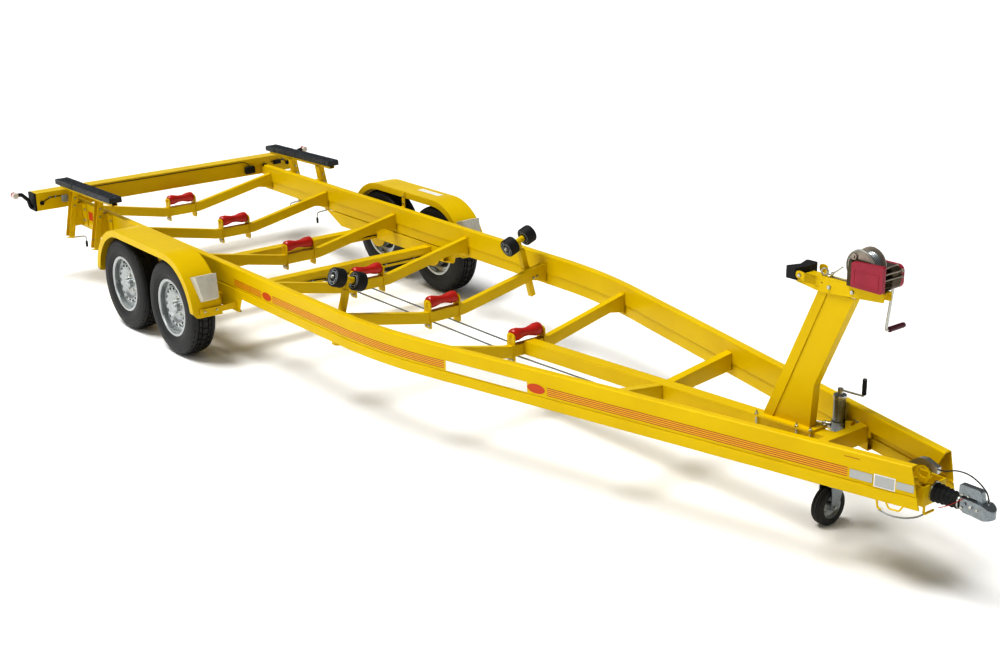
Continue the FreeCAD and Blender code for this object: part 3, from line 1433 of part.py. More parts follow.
def cable_hooks():
    """J plate and loop under the right beam's front, and the hanger under the housing."""
    t = hook_sheet
    top = beam_bottom - seat_gap
    low = beam_bottom - hook_drop
    x0 = hook_place
    x1 = hook_place + hook_long
    outline = [(x0, top), (x0 + 2 * t, top), (x0 + 3 * t, low + 2 * t), (x1, low + t), (x1, low), (x0 + 2 * t, low)]
    y = beam_foot(x0)
    hook = side_prism(outline, y - t / 2, y + t / 2, [0, 0, t, t / 2, t / 2, 2 * t])
    x2, x3 = loop_place, loop_place + loop_long
    drop = beam_bottom - loop_drop
    inset = loop_long * 0.2
    loop = rod([V(x2, beam_foot(x2), top), V(x2 + inset, beam_foot(x2 + inset), drop),
                V(x3 - inset, beam_foot(x3 - inset), drop), V(x3, beam_foot(x3), top)], loop_rod, [0, inset, inset, 0])
    loop = loop.cut(box(x2 - overrun, x3 + overrun, -beam_half_width, 0, top, top + overrun))
    bottom = housing_bottom - hanger_drop
    hanger = rod([V(hanger_x, -hanger_y, housing_bottom - seat_gap), V(hanger_x, -hanger_y, bottom),
                  V(hanger_x, -hanger_y + hanger_foot, bottom)], hanger_rod, [0, 2 * hanger_rod, 0])
    return [hook, loop, hanger]


def brake_rods():
    """Brake rods under the crossbeams from the front axle to the overrun housing."""
    start = axle_spacing + tube_lead + tube_square / 2 + seat_gap
    low = crossbeam_mid_top - crossbeam_mid_tall - 3 * rod_radius
    first = tube_height - tube_square / 2 + rod_radius
    out = []
    for y in (rod_y, -rod_y):
        points = [V(start, y, first), V(crossbeam_places[-1], y, low),
                  V(housing_rear - seat_gap, y / 2, housing_bottom + housing_sheet / 2)]
        out.append(rod(points, rod_radius, [0, beam_height, 0]))
    return out


# Free cables

def breakaway_route():
    return [V(5922.3, -40, 612), V(5952, -40, 612), V(6000, -31, 634), V(6056, -20, 633),
            V(6102, -11, 611), V(6135, -4, 581), V(6154, 0, 553), V(6154, 0, 524)]


def plug_lead_route():
    return [V(5720, -172, 388), V(5744, -166, 377), V(5786, -150, 369), V(5830, -124, 369),
            V(5862, -98, 377), V(5872, -76, 382), V(5872, -58, 382)]


def cable(points, radius):
    radii = [0]
    for i in range(1, len(points) - 1):
        back, ahead = points[i] - points[i - 1], points[i + 1] - points[i]
        turn = back.getAngle(ahead)
        radii.append(0.45 * min(back.Length, ahead.Length) / math.tan(turn / 2))
    radii.append(0)
    print("cable radii", [round(r, 1) for r in radii[1:-1]])
    tube = rod(points, radius, radii)
    path = Part.Wire(corner_edges(points, radii, closed=False))
    print("cable length", round(path.Length, 1), "volume share",
          round(tube.Volume / (math.pi * radius ** 2 * path.Length), 4))
    return tube


# Export

def put(name, shapes):
    """Write one node, moved so that the trailer's middle is at X zero."""
    solids = []
    for shape in shapes:
        solids += shape.Solids
    moved = [solid.translated(V(-middle, 0, 0)) for solid in solids]
    for solid in moved:
        if not solid.isValid() or solid.Volume <= 0:
            print("check", name, solid.isValid(), round(solid.Volume))
    shape = moved[0] if len(moved) == 1 else Part.makeCompound(moved)
    shape.exportStep(os.path.join("parts", name + ".step"))


def pair(shape):
    return [shape, mirrored(shape)]


def main():
    os.makedirs("parts", exist_ok=True)
    shell = outer_shell()
    put("main_beam_left", [shell])
    put("main_beam_right", [mirrored(shell)])
    put("lower_shells", pair(lower_shell()))
    put("axle_carriers", pair(axle_carrier()))
    wall = beam_space()
    put("keel_crossbeams", keel_crossbeams(wall))
    put("spine_tube", [spine_tube()])
    put("frame_crossmembers", frame_crossmembers(wall))
    put("roller_brackets", roller_brackets())
    for i, x in enumerate(crossbeam_places):
        put("keel_roller_%d" % (i + 1), [keel_roller(x)])
    put("axle_tubes", [axle_tube(x) for x in axle_places.values()])
    put("swing_arms", [swing_arm(x, s) for x in axle_places.values() for s in sides.values()])
    for end, x in axle_places.items():
        for name, side in sides.items():
            put("tyre_%s_%s" % (end, name), [tyre(x, side)])
            put("rim_%s_%s" % (end, name), [rim(x, side)])
    guard = mudguard()
    put("mudguard_left", [guard])
    put("mudguard_right", [mirrored(guard)])
    stays = mudguard_stays()
    put("mudguard_stays", stays + [mirrored(s) for s in stays])
    put("wheel_chocks", pair(wheel_chock()))
    put("side_posts", pair(side_post()))
    rollers = hull_rollers()
    put("hull_rollers_left", rollers)
    put("hull_rollers_right", [mirrored(r) for r in rollers])
    put("pad_posts", pad_legs(1) + pad_legs(-1))
    put("pad_rails", [pad_rail(1), pad_rail(-1)])
    put("hull_pads", hull_pads(1) + hull_pads(-1))
    put("light_bar", [light_bar()])
    put("marker_arms", [marker_arm(1), marker_arm(-1)])
    put("marker_lamps", [marker_lamp(1), marker_lamp(-1)])
    put("winch_post", [winch_post()])
    put("winch_head", [winch_head()])
    put("bow_stop", [bow_stop()])
    put("winch_body", [winch_body()])
    put("winch_drum", [winch_drum()])
    put("winch_cover", winch_cover())
    put("winch_crank", [winch_crank()])
    put("jockey_tube", [jockey_tube()])
    put("jockey_leg", [jockey_leg()])
    put("jockey_clamp", [jockey_clamp()])
    put("jockey_crank", [jockey_crank()])
    put("jockey_fork", [jockey_fork()])
    wheel_tyre, wheel_rim = jockey_wheel_parts()
    put("jockey_tyre", [wheel_tyre])
    put("jockey_rim", [wheel_rim])
    put("overrun_housing", [overrun_housing(), brake_sector()])
    put("gaiter", [gaiter()])
    put("coupling_head", [coupling_head()])
    put("coupling_handle", [coupling_handle()])
    put("handbrake_lever", [handbrake_lever()])
    put("cable_hooks", cable_hooks())
    put("brake_rods", brake_rods())
    put("breakaway_cable", [cable(breakaway_route(), cable_radius)])
    put("plug_lead", [cable(plug_lead_route(), lead_radius)])


main()
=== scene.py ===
import math

import bmesh
import bpy
from mathutils import Matrix, Vector


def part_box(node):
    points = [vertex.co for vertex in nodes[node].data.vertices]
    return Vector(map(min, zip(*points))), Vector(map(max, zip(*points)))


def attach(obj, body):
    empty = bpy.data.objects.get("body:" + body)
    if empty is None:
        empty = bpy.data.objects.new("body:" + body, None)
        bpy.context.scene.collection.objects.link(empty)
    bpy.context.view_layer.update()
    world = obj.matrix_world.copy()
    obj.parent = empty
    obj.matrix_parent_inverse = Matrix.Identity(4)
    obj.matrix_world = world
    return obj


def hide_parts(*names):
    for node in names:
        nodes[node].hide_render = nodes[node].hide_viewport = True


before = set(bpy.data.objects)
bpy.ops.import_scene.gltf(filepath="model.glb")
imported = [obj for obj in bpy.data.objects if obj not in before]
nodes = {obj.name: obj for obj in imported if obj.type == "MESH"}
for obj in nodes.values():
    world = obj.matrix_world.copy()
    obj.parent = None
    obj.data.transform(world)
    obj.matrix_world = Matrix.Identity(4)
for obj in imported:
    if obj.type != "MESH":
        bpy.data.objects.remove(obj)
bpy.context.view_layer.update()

# Places along the trailer are counted from the rear axle, and from the ground up.
wheel_low, wheel_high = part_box("tyre_rear_left")
rear_axle = (wheel_low.x + wheel_high.x) / 2


def at(x, y, z):
    return Vector((rear_axle + x, y, z))


# Camera
# The photograph's viewpoint: ahead of the coupling on the trailer's right, a little above head height.
camera = bpy.data.objects.new("camera", bpy.data.cameras.new("camera"))
camera.location = (7.131669, -5.159122, 3.288016)
camera.rotation_euler = [math.radians(a) for a in (71.17157, 0.92356, 51.76465)]
camera.data.sensor_width = 36
camera.data.lens = 53.0795
camera.data.clip_end = 200
bpy.context.scene.collection.objects.link(camera)
bpy.context.scene.camera = camera
bpy.context.scene.view_settings.view_transform = "Standard"
bpy.context.scene.view_settings.look = "High Contrast"


# Free cables
# A thin wire rope in a black sheath from the handbrake lever to the ring on the coupling head, and the grey
# lead to the towing vehicle, laid over the hook and the hanger under the frame's nose.
def linear(hex_colour):
    parts = [int(hex_colour[i:i + 2], 16) / 255 for i in (1, 3, 5)]
    return tuple(p / 12.92 if p <= 0.04045 else ((p + 0.055) / 1.055) ** 2.4 for p in parts) + (1.0,)


def add(tree, kind, values=(), links=(), **settings):
    """One shader node with its settings, its inputs' values and its incoming links."""
    made = tree.nodes.new(kind)
    for key, value in settings.items():
        setattr(made, key, value)
    for key, value in dict(values).items():
        made.inputs[key].default_value = value
    for key, source in dict(links).items():
        tree.links.new(source, made.inputs[key])
    return made


def finish(name, **sockets):
    """A new material, with its node tree, its shader and the Object coordinates."""
    made = bpy.data.materials.new(name)
    made.use_nodes = True
    tree = made.node_tree
    shader = tree.nodes["Principled BSDF"]
    for key, value in sockets.items():
        shader.inputs[key.replace("_", " ")].default_value = value
    return made, tree, shader, add(tree, "ShaderNodeTexCoord").outputs["Object"]


def feed(shader, **sources):
    """Links patterns into the shader's sockets."""
    for key, source in sources.items():
        shader.id_data.links.new(source, shader.inputs[key.replace("_", " ")])


def sheath(name, dark, light, roughness):
    """Extruded PVC: even, a little greasy in its shine, with handling marks some 8 mm long."""
    made, tree, shader, place = finish(name, Roughness=roughness)
    marks = add(tree, "ShaderNodeTexNoise", {"Scale": 1 / 0.008, "Detail": 3}, {"Vector": place})
    tone = add(tree, "ShaderNodeMix", {6: linear(dark), 7: linear(light)}, {0: marks.outputs["Fac"]},
               data_type="RGBA")
    dent = add(tree, "ShaderNodeBump", {"Strength": 0.2, "Distance": 0.0004},
               {"Height": marks.outputs["Fac"]})
    feed(shader, Base_Color=tone.outputs[2], Normal=dent.outputs["Normal"])
    return made


def run(name, points, radius, material, body="chassis"):
    """A cable or rod as one smooth curve with those points as its control points."""
    data = bpy.data.curves.new(name, "CURVE")
    data.dimensions = "3D"
    data.bevel_depth = radius
    data.bevel_resolution = 4
    data.resolution_u = 10
    data.use_fill_caps = True
    line = data.splines.new("NURBS")
    line.points.add(len(points) - 1)
    for point, place in zip(line.points, points):
        point.co = (*place, 1.0)
    line.order_u = 3
    line.use_endpoint_u = True
    data.materials.append(material)
    obj = bpy.data.objects.new(name, data)
    bpy.context.scene.collection.objects.link(obj)
    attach(obj, body)
    return obj


black_sheath = sheath("black_pvc_sheath", "#141414", "#232323", 0.42)
breakaway_points = [(3.6593, -0.040, 0.612), (3.689, -0.040, 0.612), (3.737, -0.031, 0.634),
                    (3.793, -0.020, 0.633), (3.839, -0.011, 0.611), (3.872, -0.004, 0.581),
                    (3.891, 0, 0.553), (3.891, 0, 0.524)]
breakaway = run("breakaway_rope", breakaway_points, 0.003, black_sheath)
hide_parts("breakaway_cable")

lead_points = [(3.457, -0.172, 0.388), (3.481, -0.166, 0.377), (3.523, -0.150, 0.369), (3.567, -0.124, 0.369),
               (3.599, -0.098, 0.377), (3.609, -0.076, 0.382), (3.609, -0.058, 0.382)]
lead = run("plug_lead_cable", lead_points, 0.004, sheath("grey_pvc_sheath", "#8F9294", "#A9ABAC", 0.5))
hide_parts("plug_lead")


# Studio
# A plain white floor, a sky that is white at the horizon and dim above, soft light from high on the trailer's
# right, a large lamp on that side and a weak one from ahead.

# seamless paper: even and matt, so that it shows the shadows alone
paper, tree, shader, place = finish("white_paper_floor", Roughness=0.85)
mottle = add(tree, "ShaderNodeTexNoise", {"Scale": 1 / 1.7, "Detail": 2}, {"Vector": place})
tone = add(tree, "ShaderNodeMix", {6: linear("#F4F4F3"), 7: linear("#FAFAFA")}, {0: mottle.outputs["Fac"]},
           data_type="RGBA")
feed(shader, Base_Color=tone.outputs[2])
bm = bmesh.new()
bmesh.ops.create_grid(bm, x_segments=8, y_segments=8, size=90)
mesh = bpy.data.meshes.new("floor")
bm.to_mesh(mesh)
bm.free()
mesh.materials.append(paper)
floor = bpy.data.objects.new("floor", mesh)
bpy.context.scene.collection.objects.link(floor)

world = bpy.data.worlds.new("studio")
world.use_nodes = True
world.node_tree.nodes["Background"].inputs["Color"].default_value = (1, 1, 1, 1)
tree = world.node_tree
sky = add(tree, "ShaderNodeTexCoord")
up = add(tree, "ShaderNodeSeparateXYZ", {}, {"Vector": sky.outputs["Generated"]})
horizon = add(tree, "ShaderNodeMapRange",
              {"From Min": 0.06, "From Max": 0.22, "To Min": 1.0, "To Max": 0.16},
              {"Value": up.outputs["Z"]}, interpolation_type="SMOOTHSTEP")
tree.links.new(horizon.outputs["Result"], tree.nodes["Background"].inputs["Strength"])
bpy.context.scene.world = world
for name, kind, spot, size, power in (("high", "SUN", (-2, -3, 10), math.radians(30), 2.5),
                                      ("key", "AREA", (-2, -10, 5), 5.0, 130),
                                      ("front", "AREA", (9, 5, 6), 4.0, 20)):
    lamp = bpy.data.objects.new(name, bpy.data.lights.new(name, kind))
    if kind == "SUN":
        lamp.data.angle = size
    else:
        lamp.data.size = size
    lamp.data.energy = power
    lamp.location = spot
    lamp.rotation_euler = (-Vector(spot)).to_track_quat("-Z", "Y").to_euler()
    bpy.context.scene.collection.objects.link(lamp)


# Painted frame
# Folded and welded steel sheet, blasted and powder coated signal yellow: polyester powder that flows to a
# gloss with a fine orange peel. Its yellow is uneven in patches, and road dust dulls it low down.
coat, tree, shader, place = finish("yellow_powder_coat", Specular_IOR_Level=0.22)
patches = add(tree, "ShaderNodeTexNoise", {"Scale": 1 / 0.35, "Detail": 4}, {"Vector": place})
tone = add(tree, "ShaderNodeMix", {6: linear("#DFC200"), 7: linear("#CDAB00")}, {0: patches.outputs["Fac"]},
           data_type="RGBA")
height = add(tree, "ShaderNodeSeparateXYZ", {}, {"Vector": place})
near_road = add(tree, "ShaderNodeMapRange",
                {"From Min": 0.32, "From Max": 0.5, "To Min": 0.16, "To Max": 0.0},
                {"Value": height.outputs["Z"]})
splash = add(tree, "ShaderNodeTexNoise", {"Scale": 1 / 0.06, "Detail": 6, "Roughness": 0.7},
             {"Vector": place})
dust = add(tree, "ShaderNodeMath", {}, {0: near_road.outputs["Result"], 1: splash.outputs["Fac"]},
           operation="MULTIPLY")
road = add(tree, "ShaderNodeMix", {7: linear("#7A6A4A")}, {0: dust.outputs["Value"], 6: tone.outputs[2]},
           data_type="RGBA")
# real peel is 1 to 2 mm across; drawn 3 mm so that it shows
peel = add(tree, "ShaderNodeTexNoise", {"Scale": 1 / 0.003, "Detail": 1}, {"Vector": place})
folds = add(tree, "ShaderNodeBevel", {"Radius": 0.004}, samples=4)
skin = add(tree, "ShaderNodeBump", {"Strength": 0.12, "Distance": 0.0003},
           {"Height": peel.outputs["Fac"], "Normal": folds.outputs["Normal"]})
gloss = add(tree, "ShaderNodeMapRange", {"To Min": 0.27, "To Max": 0.42}, {"Value": splash.outputs["Fac"]})
feed(shader, Base_Color=road.outputs[2], Normal=skin.outputs["Normal"], Roughness=gloss.outputs["Result"])


def dress(material, *names):
    for name in names:
        nodes[name].data.materials.clear()
        nodes[name].data.materials.append(material)


dress(coat, "main_beam_left", "main_beam_right", "lower_shells", "axle_carriers", "keel_crossbeams",
      "spine_tube", "frame_crossmembers", "roller_brackets", "axle_tubes", "swing_arms", "mudguard_left",
      "mudguard_right", "mudguard_stays", "side_posts", "pad_posts", "pad_rails", "light_bar", "winch_post",
      "winch_head", "cable_hooks", "overrun_housing")


# Markings on the right beam
# Vinyl film on the outer face above the rolled groove: a band of thin red lines, two orange ovals, and plates
# and labels without print, of which one lies on the left mudguard.
half_width, bend_at, bend_radius, taper = 0.8735, 2.753, 3.3, math.radians(13.271)
bend_start = bend_at - bend_radius * math.tan(taper / 2)


def beam_face(x):
    """How far the beams' outer faces stand from the middle, x ahead of the rear axle."""
    if x < bend_start:
        return half_width
    if x > 2 * bend_at - bend_start:
        return half_width - (x - bend_at) * math.tan(taper)
    return half_width - bend_radius + math.sqrt(bend_radius ** 2 - (x - bend_start) ** 2)


def film(name, hex_colour, roughness, metallic=0.0):
    """Printed vinyl film, or a thin aluminium plate: flat colour with the faint ripple of its glue."""
    made, tree, shader, place = finish(name, Roughness=roughness, Metallic=metallic)
    ripple = add(tree, "ShaderNodeTexNoise", {"Scale": 1 / 0.02, "Detail": 2}, {"Vector": place})
    tone = add(tree, "ShaderNodeHueSaturation", {"Color": linear(hex_colour)}, {})
    light = add(tree, "ShaderNodeMapRange", {"To Min": 0.93, "To Max": 1.05},
                {"Value": ripple.outputs["Fac"]})
    tree.links.new(light.outputs["Result"], tone.inputs["Value"])
    lift = add(tree, "ShaderNodeBump", {"Strength": 0.15, "Distance": 0.0005},
               {"Height": ripple.outputs["Fac"]})
    feed(shader, Base_Color=tone.outputs["Color"], Normal=lift.outputs["Normal"])
    return made


def piece(name, bm, material, body="chassis", angle=35):
    """Makes the mesh an object that rides on a body, smooth except at its sharper edges."""
    mesh = bpy.data.meshes.new(name)
    bm.to_mesh(mesh)
    bm.free()
    mesh.materials.append(material)
    mesh.shade_smooth()
    mesh.set_sharp_from_angle(angle=math.radians(angle))
    obj = bpy.data.objects.new(name, mesh)
    bpy.context.scene.collection.objects.link(obj)
    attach(obj, body)
    return obj


def on_beam(bm, x0, x1, z0, z1, lift):
    """A strip laid on the right beam's outer face, bent with it."""
    steps = max(1, int((x1 - x0) / 0.06))
    for v in bmesh.ops.create_grid(bm, x_segments=steps, y_segments=1, size=0.5)["verts"]:
        x = x0 + (v.co.x + 0.5) * (x1 - x0)
        z = z0 + (v.co.y + 0.5) * (z1 - z0)
        v.co = at(x, -(beam_face(x) + lift), z)


# band of lines with paler film between them
line_count, line_tall, band_low, band_high = 5, 0.0032, 0.508, 0.552
stretches = ((1.095, 1.447), (1.583, 3.243), (3.925, 5.566))
red_lines, pale_gaps = bmesh.new(), bmesh.new()
for x0, x1 in stretches:
    on_beam(pale_gaps, x0, x1, band_low, band_high, 0.0004)
    for i in range(line_count):
        low = band_low + (band_high - band_low - line_tall) * i / (line_count - 1)
        on_beam(red_lines, x0, x1, low, low + line_tall, 0.0008)
# and one short line alone, high on the nose
on_beam(red_lines, 5.546, 5.620, 0.6026, 0.6054, 0.0008)
piece("beam_lines_red", red_lines, film("red_vinyl_film", "#9E2C10", 0.4))
piece("beam_lines_pale", pale_gaps, film("pale_orange_vinyl_film", "#E2AC1C", 0.4))

ovals = bmesh.new()
oval_long, oval_tall, oval_height = 0.112, 0.052, 0.531
for centre_x in (1.515, 3.857):
    disc = bmesh.ops.create_circle(ovals, cap_ends=True, segments=40, radius=0.5)["verts"]
    for v in disc:
        x = centre_x + v.co.x * oval_long
        v.co = at(x, -(beam_face(x) + 0.001), oval_height + v.co.y * oval_tall)
piece("beam_ovals", ovals, film("orange_vinyl_film", "#C04808", 0.38))

labels = bmesh.new()
on_beam(labels, 3.257, 3.800, 0.498, 0.556, 0.001)
on_beam(labels, 5.689, 5.789, 0.493, 0.556, 0.0006)
guard_label = bmesh.ops.create_grid(labels, x_segments=4, y_segments=1, size=0.5)["verts"]
bmesh.ops.scale(labels, vec=(0.270, 0.056, 1.0), verts=guard_label)
bmesh.ops.translate(labels, vec=at(0.520, 1.112, 0.7076), verts=guard_label)
piece("labels_white", labels, film("white_vinyl_film", "#E4E3DE", 0.35))
plates = bmesh.new()
on_beam(plates, 5.577, 5.684, 0.507, 0.549, 0.0014)
on_beam(plates, 5.695, 5.783, 0.499, 0.550, 0.0014)
on_beam(plates, 5.794, 5.873, 0.510, 0.546, 0.0014)
plates.normal_update()
bmesh.ops.solidify(plates, geom=plates.faces[:], thickness=-0.0008)
piece("beam_plates_blank", plates, film("matt_aluminium_plate", "#B4B5B2", 0.45, 0.6))
small = bmesh.new()
on_beam(small, -1.208, -1.128, 0.505, 0.572, 0.0006)
piece("beam_label_orange", small, film("orange_label", "#C4470C", 0.4))


# Bolts
# Steel hexagon bolts and nuts, headed, threaded and zinc plated, each on its washer. They hold the brackets
# to the frame.

# electroplated zinc: nearly a mirror, clouded in faintly yellow patches 12 mm wide
bright, tree, shader, place = finish("bright_zinc_plate", Metallic=1.0)
cloud = add(tree, "ShaderNodeTexNoise", {"Scale": 1 / 0.012, "Detail": 4}, {"Vector": place})
tone = add(tree, "ShaderNodeMix", {6: linear("#C9CCCB"), 7: linear("#A9A79A")}, {0: cloud.outputs["Fac"]},
           data_type="RGBA")
dull = add(tree, "ShaderNodeMapRange", {"To Min": 0.22, "To Max": 0.42}, {"Value": cloud.outputs["Fac"]})
feed(shader, Base_Color=tone.outputs[2], Roughness=dull.outputs["Result"])


def along(place, axis):
    """Matrix that stands a shape built up Z at a place, pointing along an axis."""
    turn = Vector((0, 0, 1)).rotation_difference(Vector(axis))
    return Matrix.Translation(Vector(place)) @ turn.to_matrix().to_4x4()


def bolt(bm, place, axis, thread, thread_out=0.0):
    """Chamfered hexagon on its washer; with thread_out it is a nut and the thread's end shows."""
    stand = along(place, axis)
    thin, tall = 0.18 * thread, 0.66 * thread
    bmesh.ops.create_cone(bm, cap_ends=True, segments=20, radius1=1.05 * thread, radius2=thread, depth=thin,
                          matrix=stand @ Matrix.Translation((0, 0, thin / 2)))
    head = bmesh.ops.create_cone(bm, cap_ends=True, segments=6, radius1=0.94 * thread, radius2=0.94 * thread,
                                 depth=tall, matrix=stand @ Matrix.Translation((0, 0, thin + tall / 2)))
    top = stand @ Vector((0, 0, thin + tall))
    normal = Vector(axis).normalized()
    rim = {e for v in head["verts"] for e in v.link_edges
           if all(abs((w.co - top).dot(normal)) < 1e-5 for w in e.verts)}
    bmesh.ops.bevel(bm, geom=list(rim), offset=0.1 * thread, segments=1, profile=0.5, affect="EDGES",
                    material=-1)
    if thread_out:
        bmesh.ops.create_cone(bm, cap_ends=True, segments=14, radius1=0.48 * thread, radius2=0.4 * thread,
                              depth=thread_out,
                              matrix=stand @ Matrix.Translation((0, 0, thin + tall + thread_out / 2)))


# Keel rollers
# Red polyurethane rollers, cast in two cones round a plain bore. Each turns on a pin between two cheeks,
# which bolts below the crossbeam hold in place.

# cast polyurethane: waxy half gloss, its red swirled where the cast flowed, over a 2 mm mould grain
polyurethane, tree, shader, place = finish("red_polyurethane", Roughness=0.4, Coat_Weight=0.15)
swirl = add(tree, "ShaderNodeTexNoise", {"Scale": 1 / 0.05, "Detail": 4}, {"Vector": place})
tone = add(tree, "ShaderNodeMix", {6: linear("#C62A1C"), 7: linear("#A01E14")}, {0: swirl.outputs["Fac"]},
           data_type="RGBA")
grain = add(tree, "ShaderNodeTexNoise", {"Scale": 1 / 0.002, "Detail": 2}, {"Vector": place})
skin = add(tree, "ShaderNodeBump", {"Strength": 0.2, "Distance": 0.0004}, {"Height": grain.outputs["Fac"]})
feed(shader, Base_Color=tone.outputs[2], Normal=skin.outputs["Normal"])
dress(polyurethane, *["keel_roller_%d" % i for i in range(1, 7)])

# each roller's pin stands behind the middle of its crossbeam
pin_behind = 0.015
crossbeams = []
for i in range(1, 7):
    low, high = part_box("keel_roller_%d" % i)
    crossbeams.append((low.x + high.x) / 2 + pin_behind - rear_axle)
clamps = bmesh.new()
for x in crossbeams:
    for side in (-1, 1):
        for shift in (-0.024, 0.010):
            bolt(clamps, at(x + shift, side * 0.1178, 0.347), (0, side, 0), 0.010)
piece("cheek_bolts", clamps, bright)


# Wheels
# 185 R 14 tyres of black rubber on pressed steel rims, lacquered silver. Five bolts hold each wheel to its
# drum, and a rubber valve stands out through a hole in the rim.
axle_gap, hub_height = 0.7207, 0.325


def lathe(bm, profile, place, axis, steps=64, closed=False):
    """Spins (along, radius) pairs round an axis through a place."""
    old = set(bm.verts)
    verts = [bm.verts.new((radius, 0, far)) for far, radius in profile]
    pairs = list(zip(verts, verts[1:])) + ([(verts[-1], verts[0])] if closed else [])
    edges = [bm.edges.new(pair) for pair in pairs]
    bmesh.ops.spin(bm, geom=verts + edges, cent=(0, 0, 0), axis=(0, 0, 1), dvec=(0, 0, 0), angle=2 * math.pi,
                   steps=steps, use_merge=True, use_duplicate=False)
    bmesh.ops.remove_doubles(bm, verts=[v for v in bm.verts if v not in old], dist=1e-6)
    fresh = [v for v in bm.verts if v not in old]
    bmesh.ops.transform(bm, matrix=along(place, axis), verts=fresh)
    bmesh.ops.recalc_face_normals(bm, faces=list({f for v in fresh for f in v.link_faces}))


# vulcanised rubber: near black with a soft sheen, bloomed brown in patches of 40 mm; its grit is drawn 2.5 mm
tread, tree, shader, place = finish("tyre_rubber", Roughness=0.56, Specular_IOR_Level=0.55)
bloom = add(tree, "ShaderNodeTexNoise", {"Scale": 1 / 0.04, "Detail": 5, "Roughness": 0.65},
            {"Vector": place})
tone = add(tree, "ShaderNodeMix", {6: linear("#161818"), 7: linear("#2A2A29")}, {0: bloom.outputs["Fac"]},
           data_type="RGBA")
grit = add(tree, "ShaderNodeTexNoise", {"Scale": 1 / 0.0025, "Detail": 3}, {"Vector": place})
skin = add(tree, "ShaderNodeBump", {"Strength": 0.3, "Distance": 0.0005}, {"Height": grit.outputs["Fac"]})
feed(shader, Base_Color=tone.outputs[2], Normal=skin.outputs["Normal"])

# sprayed aluminium lacquer: glittering flakes, drawn 1.5 mm so that they show, duller under brake dust
lacquer, tree, shader, place = finish("silver_wheel_lacquer", Metallic=0.85)
flake = add(tree, "ShaderNodeTexVoronoi", {"Scale": 1 / 0.0015}, {"Vector": place})
fleck = add(tree, "ShaderNodeSeparateColor", {}, {"Color": flake.outputs["Color"]})
tone = add(tree, "ShaderNodeMix", {6: linear("#A9ADAD"), 7: linear("#C6C9C8")}, {0: fleck.outputs["Red"]},
           data_type="RGBA")
brake_dust = add(tree, "ShaderNodeTexNoise", {"Scale": 1 / 0.05, "Detail": 3}, {"Vector": place})
dull = add(tree, "ShaderNodeMapRange", {"To Min": 0.2, "To Max": 0.42}, {"Value": brake_dust.outputs["Fac"]})
feed(shader, Base_Color=tone.outputs[2], Roughness=dull.outputs["Result"])

# moulded rubber: matt black, greyer where the mould rubbed, with pores drawn 1.8 mm
valve_rubber, tree, shader, place = finish("black_moulded_rubber", Roughness=0.6, Specular_IOR_Level=0.4)
mould = add(tree, "ShaderNodeTexNoise", {"Scale": 1 / 0.015, "Detail": 5}, {"Vector": place})
tone = add(tree, "ShaderNodeMix", {6: linear("#131414"), 7: linear("#262728")}, {0: mould.outputs["Fac"]},
           data_type="RGBA")
dull = add(tree, "ShaderNodeMapRange", {"To Min": 0.48, "To Max": 0.72}, {"Value": mould.outputs["Fac"]})
pores = add(tree, "ShaderNodeTexNoise", {"Scale": 1 / 0.0018, "Detail": 2}, {"Vector": place})
skin = add(tree, "ShaderNodeBump", {"Strength": 0.25, "Distance": 0.0004}, {"Height": pores.outputs["Fac"]})
feed(shader, Base_Color=tone.outputs[2], Roughness=dull.outputs["Result"], Normal=skin.outputs["Normal"])

# half a section from the bead to the tread's middle: (from the middle plane, radius)
sidewall = [(0.072, 0.1795), (0.0725, 0.195), (0.0805, 0.200), (0.0865, 0.213), (0.0895, 0.226),
            (0.0905, 0.228), (0.0925, 0.240), (0.0925, 0.252), (0.0915, 0.262), (0.0922, 0.264),
            (0.0905, 0.275), (0.0880, 0.288), (0.0878, 0.291), (0.0850, 0.300), (0.0790, 0.3095),
            (0.0730, 0.3155), (0.0660, 0.3195), (0.0560, 0.3220)]
ribs = [(0.0490, 0.3232), (0.0485, 0.3165), (0.0415, 0.3165), (0.0410, 0.3238), (0.0250, 0.3246),
        (0.0245, 0.3175), (0.0165, 0.3175), (0.0160, 0.3249), (0.0, 0.3250)]
half = sidewall + ribs
tyre_section = half + [(-x, r) for x, r in reversed(half[:-1])]
wheel_steps = 168
